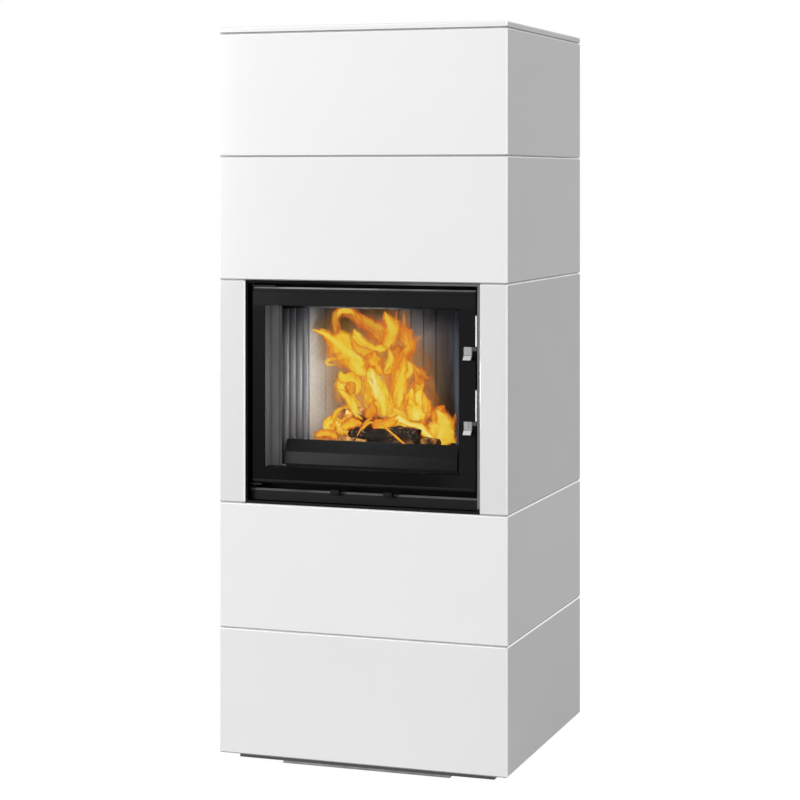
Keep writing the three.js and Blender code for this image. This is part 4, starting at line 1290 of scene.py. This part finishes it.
# as above, but each path is x, y and half width in pixels of the enlarged piece
drawnTongues = {
    "leftArm": (0.150, 3, 1.00, [(610, 735, 44), (560, 660, 66), (490, 570, 84), (420, 485, 92),
        (345, 405, 84), (270, 345, 56), (200, 305, 28), (140, 280, 17), (84, 264, 9)]),
    "leftLoop": (0.162, 0, 0.72, [(330, 350, 44), (318, 260, 36), (318, 190, 30), (345, 130, 32),
        (410, 102, 34), (480, 112, 36), (530, 170, 34), (565, 235, 26), (600, 310, 12)]),
    "ringTop": (0.158, 3, 0.75, [(330, 180, 10), (360, 118, 18), (420, 96, 20), (480, 108, 16),
        (515, 150, 8)]),
    "hook": (0.140, 3, 1.00, [(495, 250, 14), (515, 310, 30), (555, 372, 34), (615, 412, 28),
        (695, 445, 24), (775, 452, 26), (820, 420, 16)]),
    "hookShade": (0.152, 1, 0.80, [(480, 330, 30), (520, 420, 44), (590, 470, 50), (660, 490, 40),
        (720, 500, 20)]),
    "redVeil": (0.175, 0, 0.75, [(500, 110, 34), (560, 185, 46), (640, 250, 66), (720, 312, 76),
        (790, 390, 50), (830, 450, 20)]),
    "tall": (0.148, 2, 0.90, [(790, 480, 60), (812, 400, 66), (845, 330, 78), (850, 260, 70),
        (815, 195, 44), (790, 140, 28), (775, 92, 8)]),
    "rightArm": (0.158, 1, 0.90, [(890, 220, 26), (945, 285, 44), (990, 360, 48), (1012, 430, 38),
        (975, 490, 44), (935, 560, 56), (905, 650, 70), (900, 740, 60)]),
    "rightRed": (0.156, 0, 0.85, [(890, 400, 40), (890, 480, 66), (880, 560, 64), (850, 640, 54),
        (820, 700, 20)]),
    "topWisp": (0.165, 0, 0.60, [(958, 330, 16), (958, 220, 12), (945, 100, 6)]),
    "topWispB": (0.168, 0, 0.50, [(885, 230, 12), (880, 160, 10), (900, 95, 6)]),
    "faceLeft": (0.142, 1, 0.95, [(690, 475, 30), (675, 540, 54), (700, 610, 64), (745, 670, 44),
        (770, 700, 10)]),
    "faceRight": (0.136, 3, 0.90, [(820, 440, 16), (832, 520, 24), (815, 590, 44), (770, 650, 44),
        (735, 680, 14)]),
    "faceBack": (0.160, 1, 0.90, [(600, 690, 26), (580, 610, 44), (600, 530, 50), (650, 490, 40),
        (720, 480, 30)]),
    "column": (0.125, 4, 1.00, [(765, 1110, 96), (755, 1020, 100), (750, 930, 94), (722, 845, 84),
        (685, 770, 60), (655, 700, 44), (642, 640, 28), (640, 590, 6)]),
    "columnLeft": (0.129, 3, 1.00, [(650, 1010, 34), (632, 920, 34), (632, 830, 36), (615, 750, 40),
        (590, 690, 24)]),
    "rightColumn": (0.132, 2, 1.00, [(890, 1020, 60), (880, 930, 70), (890, 830, 66), (910, 740, 60),
        (945, 650, 46), (962, 570, 30), (952, 490, 8)]),
    "rightLump": (0.128, 3, 0.90, [(965, 735, 12), (995, 692, 24), (1015, 640, 28), (985, 580, 20),
        (965, 530, 6)]),
    "rightBack": (0.180, 1, 0.80, [(890, 900, 60), (885, 780, 66), (880, 680, 66), (885, 580, 62),
        (860, 480, 44)]),
    "side": (0.120, 3, 1.00, [(1085, 1140, 84), (1085, 1050, 90), (1095, 970, 80), (1088, 900, 48),
        (1105, 850, 30), (1128, 800, 5)]),
    "sideTip": (0.123, 3, 1.00, [(1010, 1060, 60), (1020, 980, 52), (1018, 910, 40), (1030, 855, 22),
        (1038, 795, 4)]),
    "sideEdge": (0.118, 2, 0.90, [(1140, 1060, 30), (1160, 1000, 28), (1160, 940, 26), (1148, 890, 18),
        (1140, 840, 5)]),
    "sideBack": (0.165, 1, 0.90, [(1020, 1060, 80), (1060, 960, 80), (1080, 860, 54), (1105, 770, 40),
        (1130, 700, 20)]),
    "redEdge": (0.150, 0, 0.80, [(1110, 800, 20), (1095, 740, 30), (1070, 670, 30), (1040, 610, 20),
        (1015, 570, 6)]),
    "redTip": (0.152, 0, 0.65, [(1060, 620, 14), (1110, 665, 30), (1160, 720, 28), (1205, 705, 8)]),
    "redFaint": (0.170, 0, 0.40, [(1000, 470, 14), (1050, 400, 22), (1095, 355, 16), (1135, 330, 5)]),
    "rightFoot": (0.110, 3, 0.90, [(1310, 1400, 60), (1290, 1320, 92), (1305, 1240, 104), (1330, 1165, 88),
        (1322, 1100, 64), (1290, 1045, 40), (1250, 995, 8)]),
    "rightFootGlow": (0.106, 4, 0.80, [(1215, 1290, 40), (1220, 1220, 40), (1235, 1150, 30),
        (1240, 1100, 10)]),
    "footRed": (0.116, 0, 0.85, [(1230, 1140, 26), (1262, 1070, 46), (1290, 1020, 36), (1240, 975, 6)]),
    "footFaint": (0.112, 0, 0.50, [(1400, 1200, 16), (1425, 1110, 20), (1432, 1040, 6)]),
    "leftRing": (0.100, 2, 0.95, [(285, 1200, 34), (306, 1120, 24), (322, 1050, 16), (368, 1008, 14),
        (420, 990, 8)]),
    "ringUnder": (0.098, 2, 0.90, [(345, 1135, 8), (395, 1112, 9), (445, 1068, 9), (466, 1005, 6)]),
    "leftTongue": (0.116, 4, 0.95, [(345, 815, 8), (395, 868, 28), (448, 930, 36), (490, 1000, 30),
        (535, 1065, 16), (605, 1118, 5)]),
    "leftCap": (0.128, 3, 0.95, [(500, 900, 16), (522, 830, 30), (515, 760, 38), (470, 722, 40),
        (415, 722, 36), (378, 690, 26), (382, 635, 5)]),
    "leftCapSide": (0.130, 3, 0.95, [(400, 890, 26), (388, 830, 34), (395, 770, 40), (420, 730, 24)]),
    "capRed": (0.122, 0, 0.80, [(460, 880, 14), (468, 830, 34), (452, 780, 36), (440, 745, 10)]),
    "leftHaze": (0.150, 1, 0.45, [(370, 960, 30), (345, 880, 30), (340, 800, 26), (310, 740, 10)]),
    "lick": (0.150, 3, 0.90, [(390, 540, 10), (330, 546, 17), (262, 548, 20), (238, 570, 15),
        (275, 598, 10), (365, 592, 5)]),
    "leftFoot": (0.104, 3, 0.95, [(225, 1225, 40), (262, 1160, 44), (290, 1100, 28), (305, 1045, 6)]),
    "footBright": (0.100, 4, 0.90, [(372, 1250, 36), (378, 1190, 34), (350, 1140, 20), (335, 1110, 5)]),
    "footOrange": (0.096, 1, 0.90, [(150, 1250, 20), (220, 1240, 36), (290, 1260, 34), (330, 1290, 14)]),
    "curlLeft": (0.100, 1, 0.95, [(370, 1190, 24), (440, 1145, 34), (520, 1130, 28), (590, 1150, 10)]),
    "curlThin": (0.096, 1, 0.90, [(520, 1260, 6), (565, 1180, 9), (620, 1110, 10), (680, 1085, 6)]),
    "curlThinB": (0.097, 1, 0.90, [(560, 1210, 6), (600, 1160, 9), (650, 1130, 8), (690, 1140, 4)]),
    "baseGlow": (0.108, 1, 0.95, [(640, 1130, 30), (700, 1160, 46), (780, 1150, 44), (860, 1110, 34),
        (930, 1050, 8)]),
    "baseRed": (0.104, 0, 0.90, [(600, 1090, 20), (640, 1050, 44), (660, 1000, 36), (640, 950, 12)]),
    "arc": (0.098, 4, 1.00, [(860, 1120, 8), (905, 1082, 26), (950, 1108, 24), (1020, 1152, 20),
        (1090, 1162, 26), (1150, 1220, 28), (1215, 1282, 28), (1270, 1335, 8)]),
    "twig": (0.094, 1, 1.00, [(800, 1165, 4), (860, 1222, 6), (930, 1285, 6), (1000, 1335, 3)]),
    "twigLeft": (0.095, 2, 1.00, [(285, 1225, 4), (298, 1255, 6), (312, 1292, 4)]),
    "bodyVeil": (0.186, 2, 0.50, [(620, 1000, 80), (600, 880, 60), (590, 760, 60), (570, 650, 60),
        (520, 560, 50)]),
}


# a sketched path, laid at its depth behind the tile fronts
def sketchedPath(points, depth, settings):
    eyeX, eyeY, eyeZ = cameraSettings["place"]
    turn = math.radians(cameraSettings["turn"])
    cosine, sine = math.cos(turn), math.sin(turn)
    away = depth + backOfTiles - eyeY
    path = []
    for x, y, width in points:
        slant = (settings["left"] + x / settings["enlarged"] - settings["middle"]) / settings["lens"]
        drop = (settings["top"] + y / settings["enlarged"] - settings["horizon"]) / settings["lens"]
        aside = away * (slant * cosine - sine) / (cosine + slant * sine)
        height = eyeZ - drop * (away * cosine - aside * sine)
        path.append((round(eyeX + aside, 3), round(height, 3), round(width * settings["width"], 4)))
    return path


def flameGlow(settings):
    material, shader = newMaterial("flameGlow")
    # each tongue has its own whole number in u, and its heat and thickness in v
    u, v = split(addNode("ShaderNodeUVMap").outputs["UV"])[:2]
    wide, number = calc("FRACT", u), calc("FLOOR", u)
    tall, code = calc("FRACT", v), calc("FLOOR", v)
    step = settings["heatStep"]
    warm = calc("FLOOR", calc("DIVIDE", code, step))
    thick = calc("DIVIDE", calc("MODULO", code, step), step - 1)
    curls = cloud(place((1, 0.6, 0.7)), settings["curlScale"], 3, 0.5, 1.2)
    wisps = cloud(place((1, 0.6, 0.6)), settings["wispScale"], 3, 0.6, 1.0)
    # streaks run along the tongue
    flow = addNode("ShaderNodeCombineXYZ")
    feed(flow.inputs["X"], plus(times(wide, settings["streaksAcross"]), times(number, 5.17)))
    feed(flow.inputs["Y"], times(tall, settings["streaksAlong"]))
    streaks = cloud(flow.outputs["Vector"], 1.0, 3, 0.55, 0.8)
    # one along the middle, nothing at the sides and at both ends
    middle = minus(1.0, calc("ABSOLUTE", minus(times(wide, 2.0), 1.0)))
    ends = times(remap(tall, *settings["foot"]), remap(tall, *settings["tip"], 1.0, 0.0))
    torn = plus(waver(curls, settings["curl"]), waver(wisps, settings["wisp"]))
    torn = plus(torn, waver(streaks, settings["streak"]))
    inside = minus(plus(times(middle, settings["core"]), torn), times(minus(1.0, ends), 0.50))
    solid = times(remap(inside, *settings["body"]), remap(middle, *settings["rim"]))
    alpha = times(solid, times(remap(ends, 0.0, 0.35), thick), True)
    # hotter along some streaks, cooler at the torn edges
    glow = plus(waver(streaks, settings["streakGlow"]), remap(inside, *settings["bodyGlow"]))
    heat = plus(times(warm, settings["heatShare"]), glow, True)
    shader.inputs["Base Color"].default_value = (0, 0, 0, 1)
    shader.inputs["Specular IOR Level"].default_value = 0.0
    feed(shader.inputs["Emission Color"], ramp(heat, settings["heats"]))
    shader.inputs["Emission Strength"].default_value = 1.0
    feed(shader.inputs["Alpha"], alpha)
    return material


# smooth curve through the path's points
def alongPath(path, share):
    reach = share * (len(path) - 1)
    index = min(int(reach), len(path) - 2)
    part = reach - index
    before, first = Vector(path[max(index - 1, 0)]), Vector(path[index])
    second, after = Vector(path[index + 1]), Vector(path[min(index + 2, len(path) - 1)])
    start, finish = (second - before) / 2, (after - first) / 2
    square, cube = part * part, part ** 3
    return (first * (2 * cube - 3 * square + 1) + start * (cube - 2 * square + part)
            + second * (3 * square - 2 * cube) + finish * (cube - square))


# a small tongue standing on the logs
def lickPath(settings, chance):
    x = chance.uniform(*settings["across"])
    hump = max(high * math.exp(-((x - middle) / wide) ** 2) for middle, wide, high in settings["humps"])
    tall = (0.25 + 0.75 * hump) * settings["tallest"] * chance.uniform(0.45, 1.0)
    foot = settings["low"] + chance.uniform(0.0, settings["footRise"])
    wide = chance.uniform(*settings["wide"])
    lean, swing = chance.uniform(*settings["lean"]), chance.uniform(*settings["swing"])
    path = []
    for step in range(5):
        share = step / 4
        sway = swing * math.sin(share * math.pi * 1.4)
        girth = wide * (0.55 + 0.9 * share) * (1 - share ** 2) + 0.001
        height = min(foot + tall * share, settings["high"])
        path.append((x + lean * tall * share + sway, height, girth))
    return path


def addTongue(number, depth, heat, thick, path, chance, settings, built):
    points, faces, marks = built
    code = heat * settings["heatStep"] + round(thick * (settings["heatStep"] - 1))
    rows, columns = settings["rows"], settings["columns"]
    base = len(points)
    facing, twist = chance.uniform(*settings["facing"]), chance.uniform(*settings["twist"])
    wander, phase = chance.uniform(*settings["wander"]), chance.uniform(0, 6.28)
    for row in range(rows + 1):
        share = row / rows
        spot = alongPath(path, share)
        ahead = alongPath(path, min(share + 0.01, 1.0)) - alongPath(path, max(share - 0.01, 0.0))
        onward = Vector((ahead.x, 0, ahead.y)).normalized()
        centre = Vector((spot.x, depth + backOfTiles + wander * math.sin(phase + 4 * share), spot.y))
        girth = max(spot.z, settings["thinnest"])
        flat = Vector((onward.z, 0, -onward.x))
        angle = facing + twist * (share - 0.5)
        across = flat * math.cos(angle) + Vector((0, math.sin(angle), 0))
        back = onward.cross(across)
        for column in range(columns + 1):
            side = 2 * column / columns - 1
            cup = (1 - side * side) * 0.4 * girth
            points.append(centre + across * side * girth * settings["spread"] + back * cup)
    faces += gridFaces(rows, columns, base)
    for row in range(rows):
        for column in range(columns):
            near, far = (number + (0.01 + 0.98 * (column + end) / columns) for end in (0, 1))
            low, high = (code + (0.002 + 0.996 * (row + end) / rows) for end in (0, 1))
            marks += [(near, low), (far, low), (far, high), (near, high)]


def addFlames(settings):
    chance = random.Random(settings["seed"])
    built = ([], [], [])
    paths = list(laidTongues.values())
    paths += [(depth, heat, thick, sketchedPath(points, depth, sketch))
              for depth, heat, thick, points in drawnTongues.values()]
    for number, (depth, heat, thick, path) in enumerate(paths):
        addTongue(number, depth, heat, thick, path, chance, settings, built)
    for lick in range(licks["count"]):
        depth = chance.uniform(*licks["depths"])
        heat = chance.choice(licks["heats"])
        path = lickPath(licks, chance)
        addTongue(len(paths) + lick, depth, heat, licks["thick"], path, chance, settings, built)
    points, faces, marks = built
    piece = addPiece("flames", points, faces, flameGlow(settings), "cabinet")
    layMap(piece, "flameMap", marks)


addFlames(flames)
scene.cycles.transparent_max_bounces = 40
print("fire lit")


# room: pale floor and backdrop, a soft key from the front left, a weaker fill

room = {
    "floorSize": 30.0,
    "floorBounce": (0.55, 0.55, 0.55, 1),
    "floorSeen": (0.98, 0.98, 0.98, 1),
    "floorGlow": 1.13,
    "roughness": 0.9,
    "shine": 0.1,
    "glowShare": 0.86,
    "skyLight": 0.30,
    "key": {"place": (-10.8, -15.6, 3.5), "aim": (0, -0.3, 0.85), "size": 7.0, "power": 2700},
    "fill": {"place": (5.2, -2.0, 3.2), "aim": (0, 0, 1.2), "size": 3.0, "power": 27},
    "hearthGlow": {"place": (-0.04, 0.090, 0.82), "size": 0.05, "power": 1.08, "colour": (0.90, 0.96, 1.0)},
}


def addLamp(name, kind, settings):
    data = bpy.data.lights.new(name, kind)
    data.energy = settings["power"]
    lamp = bpy.data.objects.new(name, data)
    lamp.location = settings["place"]
    scene.collection.objects.link(lamp)
    return lamp, data


def addSoftbox(name, settings):
    lamp, data = addLamp(name, "AREA", settings)
    data.shape = "SQUARE"
    data.size = settings["size"]
    aim = Vector(settings["aim"]) - Vector(settings["place"])
    lamp.rotation_euler = aim.to_track_quat("-Z", "Y").to_euler()


# what the fire itself throws on the linings, from among the flames
def addHearthGlow(settings):
    lamp, data = addLamp("hearthGlow", "POINT", settings)
    data.color = settings["colour"]
    data.shadow_soft_size = settings["size"]
    lamp.location += tileFronts


def seenRays():
    path = addNode("ShaderNodeLightPath")
    seen = larger(path.outputs["Is Camera Ray"], path.outputs["Is Glossy Ray"])
    return larger(seen, path.outputs["Is Transmission Ray"])


def addSky(settings):
    world = bpy.data.worlds.new("room")
    scene.world = world
    world.use_nodes = True
    wiring["tree"] = world.node_tree
    background = world.node_tree.nodes["Background"]
    background.inputs["Color"].default_value = (1, 1, 1, 1)
    feed(background.inputs["Strength"], remap(seenRays(), 0.0, 1.0, settings["skyLight"], 1.0, False))


def addFloor(settings):
    material, shader = newMaterial("paleFloor")
    seen = seenRays()
    dress(shader, blendColours(seen, settings["floorBounce"], settings["floorSeen"]), settings)
    white = addNode("ShaderNodeEmission")
    white.inputs["Strength"].default_value = settings["floorGlow"]
    mixer = addNode("ShaderNodeMixShader")
    feed(mixer.inputs[0], times(seen, settings["glowShare"]))
    feed(mixer.inputs[1], shader.outputs[0])
    feed(mixer.inputs[2], white.outputs[0])
    feed(material.node_tree.nodes["Material Output"].inputs["Surface"], mixer.outputs[0])
    half = settings["floorSize"] / 2
    corners = [(-half, -half, 0), (half, -half, 0), (half, half, 0), (-half, half, 0)]
    mesh = bpy.data.meshes.new("floor")
    mesh.from_pydata(corners, [], [(0, 1, 2, 3)])
    mesh.materials.append(material)
    floor = bpy.data.objects.new("floor", mesh)
    scene.collection.objects.link(floor)


addSky(room)
addFloor(room)
for name in ("key", "fill"):
    addSoftbox(name, room[name])
addHearthGlow(room["hearthGlow"])
scene.view_settings.view_transform = "Standard"
print("room lit")
